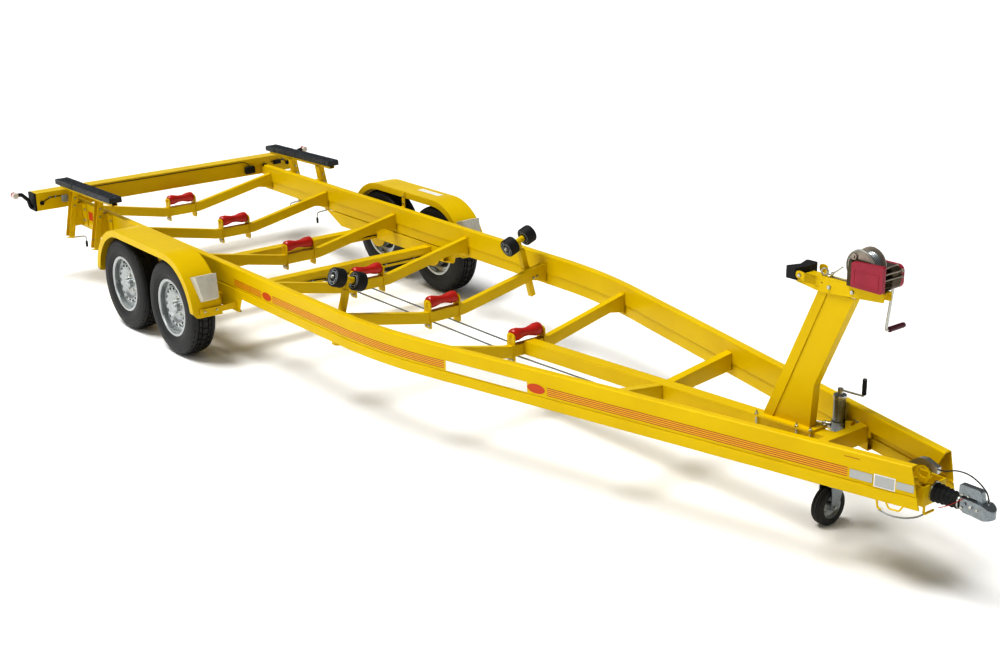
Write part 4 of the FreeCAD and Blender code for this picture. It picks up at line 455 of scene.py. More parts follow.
# sipes across the ribs and notches in the shoulders: least radius, band on each side of the middle plane,
# which of four steps, and depth
sipes = ((0.3125, 0.0665, 0.1, 0, 0.006), (0.3215, 0.026, 0.040, 2, 0.005), (0.324, 0.0, 0.012, 1, 0.004))
bolt_count, bolts_out, bolt_seat, valve_out, valve_seat = 5, 0.056, 0.0302, 0.151, 0.026
for end in ("rear", "front"):
    for hand, side in (("left", 1), ("right", -1)):
        wheel = end + "_" + hand
        low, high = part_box("tyre_" + wheel)
        hub = (low + high) / 2
        bm = bmesh.new()
        lathe(bm, tyre_section, hub, (0, side, 0), wheel_steps, closed=True)
        cuts = []
        for f in bm.faces:
            c = f.calc_center_median() - hub
            radius = math.hypot(c.x, c.z)
            column = int((math.atan2(c.z, c.x) / (2 * math.pi) + 1) * wheel_steps) % wheel_steps
            for least, inner, outer, step, depth in sipes:
                if radius > least and inner < abs(c.y) < outer and column % 4 == step:
                    cuts.append((f, depth))
        for f, depth in cuts:
            cut = bmesh.ops.extrude_discrete_faces(bm, faces=[f])["faces"][0]
            centre = cut.calc_center_median() - hub
            inward = Vector((-centre.x, 0, -centre.z)).normalized() * depth
            bmesh.ops.translate(bm, verts=cut.verts, vec=inward)
        tyre = piece("tread_" + wheel, bm, tread, "wheel_" + wheel, 28)
        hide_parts("tyre_" + wheel)
        dress(lacquer, "rim_" + wheel)
        nuts, valve = bmesh.new(), bmesh.new()
        for i in range(bolt_count):
            turn = math.radians(90 + 360 / bolt_count * i)
            seat = hub + Vector((bolts_out * math.cos(turn), side * bolt_seat, bolts_out * math.sin(turn)))
            bolt(nuts, seat, (0, side, 0), 0.0125)
        piece("wheel_bolts_" + wheel, nuts, bright, "wheel_" + wheel)
        turn = math.radians(101)
        foot = hub + Vector((valve_out * math.cos(turn), side * valve_seat, valve_out * math.sin(turn)))
        lathe(valve, [(0, 0), (0, 0.007), (0.006, 0.0075), (0.010, 0.005), (0.026, 0.0042), (0.027, 0.0048),
                      (0.036, 0.0048), (0.0375, 0.0035), (0.0375, 0)], foot, (0, side, 0), 14)
        piece("valve_" + wheel, valve, valve_rubber, "wheel_" + wheel)


# Mudguards and wheel chocks
# Pressed guards bolted to flat stays. Each carries a ribbed light grey chock, moulded in polypropylene, on
# its front curve.
def moulding(name, dark, light, roughness):
    """Injection moulded plastic with a spark-eroded grain, 1 mm, drawn 1.5 mm so that it shows."""
    made, tree, shader, place = finish(name)
    flow = add(tree, "ShaderNodeTexNoise", {"Scale": 1 / 0.06, "Detail": 4}, {"Vector": place})
    tone = add(tree, "ShaderNodeMix", {6: linear(dark), 7: linear(light)}, {0: flow.outputs["Fac"]},
               data_type="RGBA")
    shine = add(tree, "ShaderNodeMapRange", {"To Min": roughness - 0.06, "To Max": roughness + 0.08},
                {"Value": flow.outputs["Fac"]})
    grain = add(tree, "ShaderNodeTexNoise", {"Scale": 1 / 0.0015, "Detail": 1}, {"Vector": place})
    skin = add(tree, "ShaderNodeBump", {"Strength": 0.2, "Distance": 0.0003},
               {"Height": grain.outputs["Fac"]})
    feed(shader, Base_Color=tone.outputs[2], Roughness=shine.outputs["Result"],
         Normal=skin.outputs["Normal"])
    return made


def strip(bm, stations, thick):
    """A bent strip of sheet: each station is one corner below and one above; thick to the normal's side."""
    fresh = bmesh.ops.create_grid(bm, x_segments=len(stations) - 1, y_segments=1, size=0.5)["verts"]
    for v in fresh:
        i = round((v.co.x + 0.5) * (len(stations) - 1))
        v.co = stations[i][1 if v.co.y > 0 else 0]
    bm.normal_update()
    bmesh.ops.solidify(bm, geom=list({f for v in fresh for f in v.link_faces}), thickness=thick)


polypropylene = moulding("light_grey_polypropylene", "#B9B7AE", "#D2D0C8", 0.5)
dress(polypropylene, "wheel_chocks")
guard_bolts, chock_ribs = bmesh.new(), bmesh.new()
guard_radius, chock_thick, tilt = 0.3817, 0.044, math.radians(30.5)
radial, around = Vector((math.cos(tilt), 0, math.sin(tilt))), Vector((-math.sin(tilt), 0, math.cos(tilt)))
half_rib = Vector((0, 0.003, 0))
for side in (-1, 1):
    for y in (1.02, 1.105):
        bolt(guard_bolts, at(1.109, side * y, 0.380), (1, 0, 0), 0.008)
        bolt(guard_bolts, at(-0.3883, side * y, 0.380), (-1, 0, 0), 0.008)
    for z in (0.62, 0.67):
        bolt(guard_bolts, at(axle_gap / 2, side * 0.9719, z), (0, -side, 0), 0.008)
    hub = at(axle_gap, side * 1.066, hub_height)
    for i in range(-2, 3):
        stations = []
        for share in (0.04, 0.35, 0.66, 0.96):
            out, along_face = guard_radius + chock_thick + 0.031 * share, -0.0875 + 0.154 * share
            middle = hub + radial * out + around * along_face + Vector((0, i * (0.021 + 0.009 * share), 0))
            stations.append((middle - half_rib, middle + half_rib))
        strip(chock_ribs, stations, 0.0025)
bmesh.ops.recalc_face_normals(chock_ribs, faces=chock_ribs.faces[:])
piece("guard_bolts", guard_bolts, bright)
piece("chock_ribs", chock_ribs, polypropylene)


# Side posts and hull rollers
# Square posts clamped to the fifth crossbeam; twin rubber rollers turn on one pin, and each has a light grey
# nylon hub with six spokes let into its ends.
nylon = moulding("light_grey_nylon", "#7C8082", "#A0A4A5", 0.45)
dress(valve_rubber, "hull_rollers_left", "hull_rollers_right")
clamp_bolts = bmesh.new()
outer_ring = [(0, 0.0482), (0, 0.0455), (0.006, 0.0445), (0.006, 0.0482)]
inner_ring = [(0, 0.0340), (0, 0.0297), (0.0075, 0.0297), (0.0075, 0.0340)]
spoke_count = 6
for hand, side in (("left", 1), ("right", -1)):
    axle_middle = at(2.1399, side * 0.65923, 0.74420)
    axle_way = Vector((0, 0.93969, side * 0.34202))
    hubs, pin_nuts = bmesh.new(), bmesh.new()
    for way in (1, -1):
        for reach, turn_in in ((0.1098, -1), (0.0422, 1)):
            face = axle_middle + axle_way * way * reach
            inward = axle_way * way * turn_in
            lathe(hubs, outer_ring, face, inward, 40, closed=True)
            lathe(hubs, inner_ring, face, inward, 32, closed=True)
            for i in range(spoke_count):
                spoke = bmesh.ops.create_cube(hubs, size=1.0)["verts"]
                bmesh.ops.scale(hubs, vec=(0.013, 0.005, 0.004), verts=spoke)
                edges = list({e for v in spoke for e in v.link_edges})
                fresh = bmesh.ops.bevel(hubs, geom=edges, offset=0.0008, segments=1, profile=0.5,
                                        affect="EDGES", material=-1)["verts"]
                turn = Matrix.Rotation(2 * math.pi / spoke_count * i, 4, "Z")
                out = Matrix.Translation((0.0400, 0, 0.0035))
                bmesh.ops.transform(hubs, matrix=along(face, inward) @ turn @ out, verts=fresh)
        bolt(pin_nuts, axle_middle + axle_way * way * 0.1102, axle_way * way, 0.012)
    piece("hull_hubs_" + hand, hubs, nylon, "hull_rollers_" + hand)
    piece("hull_pin_nuts_" + hand, pin_nuts, bright)
    for y, z in ((0.7225, 0.4970), (0.7557, 0.5020)):
        bolt(clamp_bolts, at(crossbeams[4] + 0.0212, side * y, z), (1, 0, 0), 0.010)
piece("post_clamp_bolts", clamp_bolts, bright)


# Rear pads
# Knobbed rubber pads on rails carried by channel legs. Each leg is held by bolts through its clamp plate, and
# a cranked lever with a black grip locks its height from below.

# pressed rubber compound: blue-black, with painted blue-grey sheen in spots 22 mm wide, glossier there too
pad_rubber, tree, shader, place = finish("blue_black_pad_rubber", Specular_IOR_Level=0.6)
sheen_spots = add(tree, "ShaderNodeTexVoronoi", {"Scale": 1 / 0.022}, {"Vector": place}, distance="CHEBYCHEV")
# the lighter blue-grey at the spots' middles is painted sheen; the darker blue-black between them is the
# rubber
tone = add(tree, "ShaderNodeMix", {6: linear("#3C4248"), 7: linear("#14171A")},
           {0: sheen_spots.outputs["Distance"]}, data_type="RGBA")
spot_gloss = add(tree, "ShaderNodeMapRange", {"To Min": 0.38, "To Max": 0.7}, {"Value": sheen_spots.outputs["Distance"]})
crumb = add(tree, "ShaderNodeTexNoise", {"Scale": 1 / 0.003, "Detail": 2}, {"Vector": place})
skin = add(tree, "ShaderNodeBump", {"Strength": 0.3, "Distance": 0.0005}, {"Height": crumb.outputs["Fac"]})
feed(shader, Base_Color=tone.outputs[2], Roughness=spot_gloss.outputs["Result"], Normal=skin.outputs["Normal"])
dress(pad_rubber, "hull_pads")
pads_low, pads_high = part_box("hull_pads")
# three rows of knobs, the middle one half a pitch on, with none where two pads meet; the pads rise forwards
pads_gap, pad_middle, pad_rise = pads_low.x + 0.319, 0.928, math.tan(math.radians(1.3))
knob_pitch, row_pitch = 0.0235, 0.032
knobs = bmesh.new()
for row in (-1, 0, 1):
    for i in range(41):
        x = pads_low.x + 0.028 + knob_pitch * i + (0.0118 if row == 0 else 0)
        if abs(x - pads_gap) < 0.032 or x > pads_high.x - 0.026:
            continue
        top = pads_high.z - (pads_high.x - x) * pad_rise
        for side in (-1, 1):
            spot = Matrix.Translation((x, side * (pad_middle + row * row_pitch), top))
            bmesh.ops.create_cone(knobs, cap_ends=True, segments=8, radius1=0.0100, radius2=0.0078,
                                  depth=0.006, matrix=spot)
piece("pad_knobs", knobs, pad_rubber)
pad_bolts, grips = bmesh.new(), bmesh.new()
lever_bends = ((0.975, 0.360), (0.910, 0.358), (0.872, 0.352), (0.868, 0.330), (0.868, 0.272))
rods = []
for side, legs in ((-1, (-1.330, -0.865)), (1, (-1.180, -0.752))):
    for x in legs:
        rods.append([at(x + 0.01, side * y, z) for y, z in lever_bends])
        lathe(grips, [(0, 0), (0, 0.007), (0.003, 0.0088), (0.014, 0.0078), (0.026, 0.0092), (0.040, 0.0080),
                      (0.046, 0.0070), (0.048, 0.0052)], at(x + 0.01, side * 0.868, 0.268), (0, 0, 1), 16)
        for dx, z in ((0.052, 0.494), (0.084, 0.494), (0.084, 0.580)):
            bolt(pad_bolts, at(x + dx, side * 0.8816, z), (0, side, 0), 0.010)
        for y, z in ((0.930, 0.668), (0.941, 0.610)):
            bolt(pad_bolts, at(x + 0.0321, side * y, z), (1, 0, 0), 0.008)
        bolt(pad_bolts, at(x, side * 0.9675, 0.440), (0, side, 0), 0.009, 0.034)
for i, points in enumerate(rods):
    run("pad_lever_%d" % (i + 1), points, 0.005, bright)
piece("pad_bolts", pad_bolts, bright)
piece("pad_lever_grips", grips, valve_rubber)


# Light bar and lamps
# The folded bar holds a lamp cluster behind each end, with round reflectors beside them. The leads come out
# in front through rubber grommets and are clipped to the bar. Marker lamps stand on rubber arms.

bar_front, bar_back, lamp_split = -1.5450, -1.6545, rear_axle - 1.6045
# a wave texture's length at scale 1, where its bands are straight
wave_straight = math.pi / 10


def lens(name, *colours):
    """Acrylic lens, glossy over prisms 4 mm wide; of two colours the second is in front."""
    made, tree, shader, place = finish(name, Roughness=0.12, Coat_Weight=0.4)
    split = add(tree, "ShaderNodeSeparateXYZ", {}, {"Vector": place})
    half = add(tree, "ShaderNodeMath", {1: lamp_split}, {0: split.outputs["X"]}, operation="GREATER_THAN")
    tone = add(tree, "ShaderNodeMix", {6: linear(colours[0]), 7: linear(colours[-1])},
               {0: half.outputs["Value"]}, data_type="RGBA")
    depth = add(tree, "ShaderNodeTexNoise", {"Scale": 1 / 0.02, "Detail": 2}, {"Vector": place})
    shade = add(tree, "ShaderNodeHueSaturation", {}, {"Color": tone.outputs[2]})
    light = add(tree, "ShaderNodeMapRange", {"To Min": 0.8, "To Max": 1.1}, {"Value": depth.outputs["Fac"]})
    tree.links.new(light.outputs["Result"], shade.inputs["Value"])
    prisms = add(tree, "ShaderNodeTexWave", {"Scale": wave_straight / 0.004}, {"Vector": place},
                 bands_direction="Y")
    skin = add(tree, "ShaderNodeBump", {"Strength": 0.5, "Distance": 0.001},
               {"Height": prisms.outputs["Fac"]})
    feed(shader, Base_Color=shade.outputs["Color"], Normal=skin.outputs["Normal"])
    return made


def rounded(bm, near, far, corner, segments=2):
    """A block between two opposite corners with its edges rounded."""
    low = Vector([min(pair) for pair in zip(near, far)])
    high = Vector([max(pair) for pair in zip(near, far)])
    fresh = bmesh.ops.create_cube(bm, size=1.0)["verts"]
    bmesh.ops.scale(bm, vec=high - low, verts=fresh)
    bmesh.ops.translate(bm, vec=(low + high) / 2, verts=fresh)
    edges = list({e for v in fresh for e in v.link_edges})
    bmesh.ops.bevel(bm, geom=edges, offset=corner, segments=segments, profile=0.5, affect="EDGES",
                    material=-1)


dress(lens("marker_lamp_acrylic", "#A8241C", "#D9CFC6"), "marker_lamps")
dress(valve_rubber, "marker_arms")
red_acrylic, amber_acrylic = lens("red_lamp_acrylic", "#B5170F"), lens("amber_lamp_acrylic", "#D9730C")
clear_acrylic = lens("clear_lamp_acrylic", "#E3E4E2")
lamp_cases, red_lenses, amber_lenses, clear_lenses = bmesh.new(), bmesh.new(), bmesh.new(), bmesh.new()
lens_fields = ((clear_lenses, 0.706, 0.782), (red_lenses, 0.786, 0.962), (amber_lenses, 0.966, 1.084))
reflector_out = 0.64
for side in (-1, 1):
    rounded(lamp_cases, at(-1.655, side * 0.70, 0.5585), at(-1.560, side * 1.09, 0.6410), 0.004)
    for bm, inner, outer in lens_fields:
        rounded(bm, at(-1.6635, side * inner, 0.5780), at(bar_back, side * outer, 0.6390), 0.0035, 3)
    lathe(red_lenses, [(0, 0), (0, 0.028), (0.004, 0.030), (0.007, 0.027), (0.009, 0)],
          at(bar_back, side * reflector_out, 0.6085), (-1, 0, 0), 32)
    rounded(lamp_cases, at(bar_back, side * reflector_out - 0.034, 0.5745),
            at(-1.560, side * reflector_out + 0.034, 0.6425), 0.004)
piece("rear_lamp_cases", lamp_cases, moulding("black_abs", "#17181A", "#232527", 0.42))
piece("rear_lenses_red", red_lenses, red_acrylic)
piece("rear_lenses_amber", amber_lenses, amber_acrylic)
piece("rear_lenses_clear", clear_lenses, clear_acrylic)

grommets, sockets, boots = bmesh.new(), bmesh.new(), bmesh.new()
for side, entry in ((-1, 1.100), (1, 1.078)):
    lathe(grommets, [(0, 0.017), (0.004, 0.017), (0.006, 0.0145), (0.006, 0.008), (0.002, 0.007), (0.002, 0)],
          at(bar_front, side * entry, 0.612), (1, 0, 0), 28)
    run("bar_lead_%s" % ("left" if side > 0 else "right"),
        [at(-1.5410, side * entry, 0.612), at(-1.5390, side * (entry - 0.016), 0.622),
         at(-1.5405, side * 1.050, 0.640), at(-1.5405, side * 1.000, 0.648), at(-1.5405, side * 0.945, 0.646),
         at(-1.5405, side * 0.920, 0.640)], 0.0035, valve_rubber)
    for y in (1.035, 0.990):
        rounded(sockets, at(bar_front, side * y - 0.005, 0.638), at(-1.5362, side * y + 0.005, 0.656), 0.0015)
# a black lead that runs along the bar, a little wavy, and drops to its boot; laid on the line of the lip's
# shadow, it stands partly as painted shade
wavy = [at(-1.5420, y, 0.6745 + 0.0012 * math.sin(9 * y))
        for y in (-0.80, -0.60, -0.40, -0.20, 0, 0.20, 0.40, 0.58, 0.66)]
run("bar_lead_across", wavy + [at(-1.5395, 0.705, 0.650), at(-1.5395, 0.712, 0.628)], 0.0028, valve_rubber)
rounded(sockets, at(bar_front, -0.945, 0.596), at(-1.5200, -0.895, 0.650), 0.006)
rounded(boots, at(bar_front, 0.661, 0.570), at(-1.5130, 0.754, 0.634), 0.014, 3)
rounded(boots, at(bar_front, 0.838, 0.574), at(-1.5180, 0.870, 0.636), 0.006)
rounded(boots, at(bar_front, 0.940, 0.616), at(-1.5250, 1.010, 0.650), 0.006)
piece("bar_grommets", grommets, valve_rubber)
piece("bar_boots", boots, valve_rubber)
piece("bar_sockets", sockets, nylon)


# Winch post, head and winch
# The post is held to the spine by U bolts; its head carries the rubber bow stop between two ears. The winch
# has a zinc plated drum with rolled rims and two moulded covers over its greased gear train, which is
# painted dark as shade.

# open gears in shade: painted dark for that shade, black and wet in smears of grease, zinc between them
gear_grease_and_shade, tree, shader, place = finish("greased_zinc_and_painted_shade", Metallic=0.75)
smears = add(tree, "ShaderNodeTexNoise", {"Scale": 1 / 0.025, "Detail": 5, "Roughness": 0.65},
             {"Vector": place})
# both colours are dark: painted shade over the gear case and pinion, with grease smears between
tone = add(tree, "ShaderNodeMix", {6: linear("#2A2418"), 7: linear("#6E6450")}, {0: smears.outputs["Fac"]},
           data_type="RGBA")
wet = add(tree, "ShaderNodeMapRange", {"To Min": 0.22, "To Max": 0.6}, {"Value": smears.outputs["Fac"]})
feed(shader, Base_Color=tone.outputs[2], Roughness=wet.outputs["Result"])
dress(gear_grease_and_shade, "winch_body")
dress(bright, "winch_crank")

# pressed sheet under a chromate film: metal gone beige and dull, veiled in patches 30 mm wide
chromated, tree, shader, place = finish("dull_chromated_zinc", Metallic=0.5)
veil = add(tree, "ShaderNodeTexNoise", {"Scale": 1 / 0.03, "Detail": 4}, {"Vector": place})
tone = add(tree, "ShaderNodeMix", {6: linear("#8A8076"), 7: linear("#B0A799")}, {0: veil.outputs["Fac"]},
           data_type="RGBA")
dull = add(tree, "ShaderNodeMapRange", {"To Min": 0.32, "To Max": 0.5}, {"Value": veil.outputs["Fac"]})
feed(shader, Base_Color=tone.outputs[2], Roughness=dull.outputs["Result"])
dress(chromated, "winch_drum")
dress(valve_rubber, "bow_stop")
maroon = moulding("maroon_glass_filled_nylon", "#8C2438", "#A52C42", 0.4)
dress(maroon, "winch_cover")


def wire_section(wire, radius, across=0.0, corners=8):
    """Round wire cut across, for a ring of that radius: (along, radius) pairs."""
    turns = [2 * math.pi / corners * k for k in range(corners)]
    return [(across + wire * math.sin(turn), radius + wire * math.cos(turn)) for turn in turns]


pin = at(5.432, 0, 1.424)
rims, coils = bmesh.new(), bmesh.new()
for side in (-1, 1):
    lathe(rims, wire_section(0.0024, 0.0775, 0.0400), pin, (0, side, 0), 72, closed=True)
    lathe(rims, wire_section(0.0016, 0.0680, 0.0385), pin, (0, side, 0), 72, closed=True)
coil_count, coil_pitch, coil_radius, core_radius, flank = 13, 0.0054, 0.0600, 0.032, 0.0020
coil = [(-0.0340, core_radius)]
for i in range(coil_count):
    middle = -0.0324 + coil_pitch * i
    coil += [(middle - flank, coil_radius - flank), (middle, coil_radius)]
    coil.append((middle + flank, coil_radius - flank))
coil.append((0.0346, core_radius))
lathe(coils, coil, pin, (0, 1, 0), 56)
piece("drum_rims", rims, bright)

# galvanised wire rope: bright strands with painted shade in the grooves between them, 10 mm to a turn
# a wave is twice as long at scale 1 where its bands slant
wave_slanting = 2 * wave_straight
wire_rope, tree, shader, place = finish("steel_wire_rope", Metallic=0.8, Roughness=0.42)
lay = add(tree, "ShaderNodeTexWave", {"Scale": wave_slanting / 0.010, "Distortion": 0.5}, {"Vector": place},
          bands_direction="DIAGONAL")
# the darker colour, in the grooves between strands, is painted shade
tone = add(tree, "ShaderNodeMix", {6: linear("#4C4F50"), 7: linear("#A9ACAC")}, {0: lay.outputs["Fac"]},
           data_type="RGBA")
strands = add(tree, "ShaderNodeBump", {"Strength": 0.6, "Distance": 0.0006}, {"Height": lay.outputs["Fac"]})
feed(shader, Base_Color=tone.outputs[2], Normal=strands.outputs["Normal"])
piece("drum_rope", coils, wire_rope)
run("rope_to_hook", [at(5.246, 0, 1.3325), at(5.300, 0, 1.3300), at(5.345, 0, 1.3310), at(5.400, 0, 1.3480),
                     at(5.425, 0, 1.3600)], 0.0028, wire_rope)

# shackle, thimble and hook parked on the head
hook = bmesh.new()
lathe(hook, wire_section(0.0038, 0.0165), at(5.206, -0.004, 1.3470), (0.25, -1, 0.15), 36, closed=True)
lathe(hook, wire_section(0.003, 0.0085), at(5.234, -0.003, 1.3380), (0.1, -0.35, 1), 28, closed=True)
lathe(hook, [(0, 0), (0, 0.006), (0.004, 0.0075), (0.020, 0.0075), (0.024, 0.005), (0.030, 0.005),
             (0.032, 0)], at(5.236, -0.003, 1.3350), (0.75, 0, 0.62), 18)
piece("bow_hook", hook, bright)
run("hook_pin", [at(5.258, -0.003, 1.3520), at(5.280, -0.003, 1.3690), at(5.306, -0.003, 1.3900)], 0.0035,
    bright)

# ears that hold the bow stop, bent outward from the head's cheeks
ears, head_bolts = bmesh.new(), bmesh.new()
for side in (-1, 1):
    shape = [(5.104, 0.0815, 1.321, 1.338), (5.110, 0.0815, 1.314, 1.345), (5.122, 0.0815, 1.309, 1.349),
             (5.138, 0.0815, 1.306, 1.348), (5.150, 0.0790, 1.302, 1.344), (5.176, 0.0310, 1.285, 1.322),
             (5.186, 0.0262, 1.280, 1.318), (5.196, 0.0245, 1.278, 1.315)]
    strip(ears, [(at(x, side * y, low), at(x, side * y, high)) for x, y, low, high in shape],
          side * 0.004)
    bolt(head_bolts, at(5.126, side * 0.0857, 1.328), (0, side, 0), 0.009)
    for x, z in ((5.2555, 1.2880), (5.3871, 1.2941)):
        bolt(head_bolts, at(x, side * 0.0283, z), (0, side, 0), 0.010)
bmesh.ops.recalc_face_normals(ears, faces=ears.faces[:])
piece("bow_stop_ears", ears, coat)
# a thin black disc laid in the head's hole as painted shade
hole = bmesh.new()
lathe(hole, [(0, 0), (0, 0.0036), (0.0008, 0.0036), (0.0008, 0)], at(5.2120, -0.0283, 1.3005), (0, -1, 0), 18)
piece("head_hole_shade_disc", hole, valve_rubber)
# the U bolts' nuts and legs on each side of the spine
for x, lift in ((4.8735, 0.5556), (5.1275, 0.5690), (5.2132, 0.5735)):
    for side in (-1, 1):
        bolt(head_bolts, at(x, side * 0.0515, lift), (0, 0, 1), 0.010, 0.012)
        bmesh.ops.create_cone(head_bolts, cap_ends=True, segments=14, radius1=0.005, radius2=0.005,
                              depth=0.115, matrix=Matrix.Translation(at(x, side * 0.0515, lift - 0.058)))
piece("post_bolts", head_bolts, bright)

# pinion, ratchet rods and cover badge panel without lettering
train = bmesh.new()
centre, tip_radius, root_share, tooth_steps = at(5.5290, 0.012, 1.352), 0.019, 0.78, 28
teeth = bmesh.ops.create_cone(train, cap_ends=True, segments=tooth_steps, radius1=tip_radius,
                              radius2=tip_radius, depth=0.060, matrix=along(centre, (0, 1, 0)))["verts"]
for v in teeth:
    step = round(math.atan2(v.co.z - centre.z, v.co.x - centre.x) / (2 * math.pi) * tooth_steps)
    if step % 2:
        v.co.x = centre.x + (v.co.x - centre.x) * root_share
        v.co.z = centre.z + (v.co.z - centre.z) * root_share
piece("winch_pinion", train, gear_grease_and_shade)
rods = bmesh.new()
for x, z, radius in ((5.5485, 1.4070, 0.0035), (5.5485, 1.3800, 0.0035), (5.5200, 1.4230, 0.005)):
    bmesh.ops.create_cone(rods, cap_ends=True, segments=18, radius1=radius, radius2=radius, depth=0.150,
                          matrix=along(at(x, 0.032, z), (0, 1, 0)))
    bolt(rods, at(x, 0.1069, z), (0, -1, 0), 0.009)
rounded(rods, at(5.3870, -0.0450, 1.4150), at(5.4050, -0.0405, 1.4640), 0.0015)
lathe(rods, [(0, 0), (0, 0.0145), (0.0008, 0.0155), (0.0052, 0.0155), (0.0060, 0.0145), (0.0060, 0)],
      at(5.3960, -0.0402, 1.4660), (0, -1, 0), 32)
bolt(rods, at(5.3960, -0.0462, 1.4660), (0, -1, 0), 0.007)
piece("winch_rods", rods, chromated)
badge = bmesh.new()
panel = [(5.424, 1.352), (5.556, 1.352), (5.556, 1.420), (5.424, 1.415)]
for (xa, za), (xb, zb) in zip(panel, panel[1:] + panel[:1]):
    bmesh.ops.create_cone(badge, cap_ends=True, segments=8, radius1=0.0018, radius2=0.0018,
                          depth=math.hypot(xb - xa, zb - za),
                          matrix=along(at((xa + xb) / 2, -0.0690, (za + zb) / 2), (xb - xa, 0, zb - za)))
piece("cover_badge_frame", badge, maroon)
grip = bmesh.new()
waves = [(0.004 + 0.0085 * (i + 1), 0.0124 if i % 2 else 0.0136) for i in range(12)]
lathe(grip, [(0, 0.0075), (0, 0.0120), (0.004, 0.0136)] + waves + [(0.1108, 0.0120), (0.1118, 0)],
      at(5.453, 0.1670, 1.091), (0, 1, 0), 24)
piece("crank_grip", grip, moulding("dark_maroon_nylon", "#451822", "#5E2531", 0.45))


# Jockey wheel
# Galvanised tube with a bright collar in a clamp on the left beam; the crank's grip and the tyre are black
# rubber, the tyre ribbed round, and a knob ends the clamp's locking bar.

# hot dip zinc: grey spangles 7 mm across, each with a shade and a gloss of its own
galvanised, tree, shader, place = finish("hot_dip_galvanised_steel", Metallic=0.9)
spangle = add(tree, "ShaderNodeTexVoronoi", {"Scale": 1 / 0.007}, {"Vector": place})
crystal = add(tree, "ShaderNodeSeparateColor", {}, {"Color": spangle.outputs["Color"]})
tone = add(tree, "ShaderNodeMix", {6: linear("#868C8F"), 7: linear("#989EA1")}, {0: crystal.outputs["Red"]},
           data_type="RGBA")
dull = add(tree, "ShaderNodeMapRange", {"To Min": 0.30, "To Max": 0.38}, {"Value": crystal.outputs["Green"]})
runs = add(tree, "ShaderNodeTexNoise", {"Scale": 1 / 0.01, "Detail": 3}, {"Vector": place})
skin = add(tree, "ShaderNodeBump", {"Strength": 0.15, "Distance": 0.0005}, {"Height": runs.outputs["Fac"]})
feed(shader, Base_Color=tone.outputs[2], Roughness=dull.outputs["Result"], Normal=skin.outputs["Normal"])
dress(galvanised, "jockey_tube", "jockey_leg", "jockey_clamp", "jockey_fork")
dress(bright, "jockey_crank")
dress(lacquer, "jockey_rim")

tube_x, tube_y = 5.165, 0.214
jockey_low, jockey_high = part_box("jockey_tyre")
jockey_hub = (jockey_low + jockey_high) / 2
section = [(0.0256, 0.0622), (0.0300, 0.0700), (0.0320, 0.0808), (0.0312, 0.0890), (0.0262, 0.0960),
           (0.0222, 0.0985), (0.0212, 0.0950), (0.0188, 0.0952), (0.0178, 0.0996), (0.0106, 0.1005),
           (0.0096, 0.0965), (0.0072, 0.0965), (0.0062, 0.1008), (0.0, 0.1010)]
bm = bmesh.new()
lathe(bm, section + [(-x, r) for x, r in reversed(section[:-1])], jockey_hub, (1, 0, 0), 96, closed=True)
tyre = piece("jockey_tread", bm, tread, "jockey_wheel", 28)
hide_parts("jockey_tyre")
rim_bolts, fork_nuts, tube_parts, black_parts = bmesh.new(), bmesh.new(), bmesh.new(), bmesh.new()
for way in (-1, 1):
    for i in range(4):
        turn = math.radians(45 + 90 * i)
        bolt(rim_bolts, jockey_hub + Vector((way * 0.0097, 0.037 * math.cos(turn), 0.037 * math.sin(turn))),
             (way, 0, 0), 0.006)
    bolt(fork_nuts, jockey_hub + Vector((way * 0.0421, 0, 0)), (way, 0, 0), 0.010)
piece("jockey_rim_bolts", rim_bolts, bright, "jockey_wheel")
piece("jockey_fork_nuts", fork_nuts, bright, "jockey_swivel")
lathe(tube_parts, [(0, 0.0302), (0, 0.0322), (0.003, 0.0332), (0.016, 0.0332), (0.019, 0.0322),
                   (0.019, 0.0302)], at(tube_x, tube_y, 0.657), (0, 0, 1), 48, closed=True)
knob = Vector((-0.09, -0.03, 0)).normalized()
lathe(tube_parts, [(0, 0), (0, 0.014), (0.004, 0.016), (0.034, 0.016), (0.038, 0.012), (0.046, 0.010),
                   (0.046, 0)], at(5.131, 0.2026, 0.5101), knob, 28)
lathe(tube_parts, [(0, 0), (0, 0.007), (0.005, 0.0115), (0.012, 0.0128), (0.019, 0.0115), (0.024, 0.007),
                   (0.026, 0)], at(5.044, 0.1857, 0.5101), knob, 22)
# three screws in the left beam's inner face, which slants by the beams' taper
for ahead in (0, 0.018, 0.036):
    screw = at(5.243 + ahead, 0.2390 - ahead * math.tan(taper), 0.5585)
    bolt(tube_parts, screw, (-math.sin(taper), -math.cos(taper), 0), 0.006)
piece("jockey_bright_parts", tube_parts, bright)
lathe(black_parts, [(0, 0.0052), (0, 0.0100), (0.004, 0.0112), (0.020, 0.0104), (0.040, 0.0112),
                    (0.060, 0.0104), (0.074, 0.0110), (0.080, 0.0090), (0.0805, 0)],
      at(tube_x + 0.140, tube_y, 0.7160), (0, 0, 1), 24)
piece("jockey_grip", black_parts, valve_rubber)
bracket = bmesh.new()
rounded(bracket, at(5.204, tube_y, 0.500), at(5.238, 0.2398, 0.552), 0.003)
piece("jockey_bracket", bracket, coat)


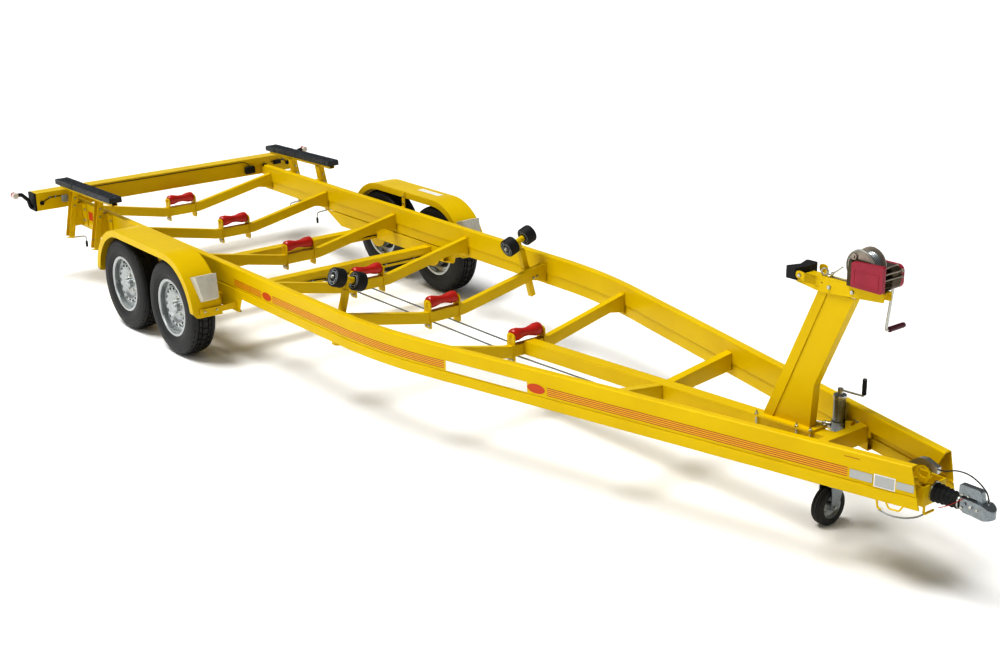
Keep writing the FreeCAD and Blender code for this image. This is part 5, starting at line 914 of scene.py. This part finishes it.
# Coupling and brakes
# Overrun coupling: rubber bellows held by two bands, forged head with its pressed handle, and the brake gear;
# sheathed brake cables run from the balance bar along the axle tubes, held by clips, to each backing plate.
dress(galvanised, "coupling_head", "coupling_handle", "brake_rods")
dress(bright, "handbrake_lever")
dress(valve_rubber, "gaiter")
shaft_height, band_thick = 0.482, 0.0015
bands, head_parts = bmesh.new(), bmesh.new()
for x, radius in ((5.8895, 0.0458), (6.0205, 0.0316)):
    lathe(bands, [(0, radius), (0, radius + band_thick), (0.009, radius + band_thick), (0.009, radius)],
          at(x - 0.0045, 0, shaft_height), (1, 0, 0), 48, closed=True)
    lock = shaft_height + radius
    rounded(bands, at(x - 0.006, -0.009, lock), at(x + 0.006, 0.009, lock + 0.009), 0.0015)
piece("gaiter_bands", bands, bright)
for side in (-1, 1):
    bolt(head_parts, at(6.0874, side * 0.0272, 0.4873), (-0.13, side * 0.99, 0), 0.009)
    bolt(head_parts, at(6.1220, side * 0.0318, 0.4850), (-0.13, side * 0.99, 0), 0.007)
    bolt(head_parts, at(6.0420, side * 0.0270, 0.4714), (0, side, 0), 0.008)
    for x in (6.0369, 6.0652):
        bolt(head_parts, at(x, side * 0.0150, 0.5270), (0, side, 0), 0.006)
    for x in (5.52, 5.64, 5.76):
        bolt(head_parts, at(x, side * 0.0808, 0.490), (0, side, 0), 0.009)
lathe(head_parts, wire_section(0.0018, 0.0085, corners=6), at(6.1540, 0, 0.5310), (1, 0, 0), 26, closed=True)
piece("coupling_bolts", head_parts, bright)

red_sheath = sheath("red_pvc_sheath", "#8E1A1C", "#B0292A", 0.45)
run("emergency_wire", [at(5.930, -0.030, 0.4290), at(5.976, -0.043, 0.4560), at(6.020, -0.0385, 0.4900),
                       at(6.052, -0.0300, 0.5180)], 0.0017, red_sheath)

clips, bar = bmesh.new(), bmesh.new()
rounded(bar, at(0.9130, -0.085, 0.3370), at(0.9370, 0.085, 0.3490), 0.003)
for y in (-0.065, 0.065):
    bolt(bar, at(0.9372, y, 0.3430), (1, 0, 0), 0.008)
piece("balance_bar", bar, galvanised)
for name, axle_x in (("front", axle_gap), ("rear", 0.0)):
    for side in (-1, 1):
        tube_front = axle_x + 0.1900
        x = tube_front + 0.0042
        first = at(x + 0.012, side * 0.080, 0.3600) if name == "front" else at(x, side * 0.060, 0.3600)
        points = [first] + [at(x, side * y, 0.3620) for y in (0.140, 0.300, 0.600, 0.800)]
        points += [at(x - 0.010, side * 0.860, 0.3560), at(x - 0.060, side * 0.925, 0.3300),
                   at(axle_x + 0.075, side * 0.9600, 0.3050)]
        run("brake_cable_%s_%s" % (name, "left" if side > 0 else "right"), points, 0.0040, black_sheath)
        for y in (0.180, 0.420, 0.660, 0.820):
            rounded(clips, at(tube_front, side * y, 0.3555),
                    at(tube_front + 0.0095, side * (y + 0.012), 0.3685), 0.0015)
piece("cable_clips", clips, galvanised)
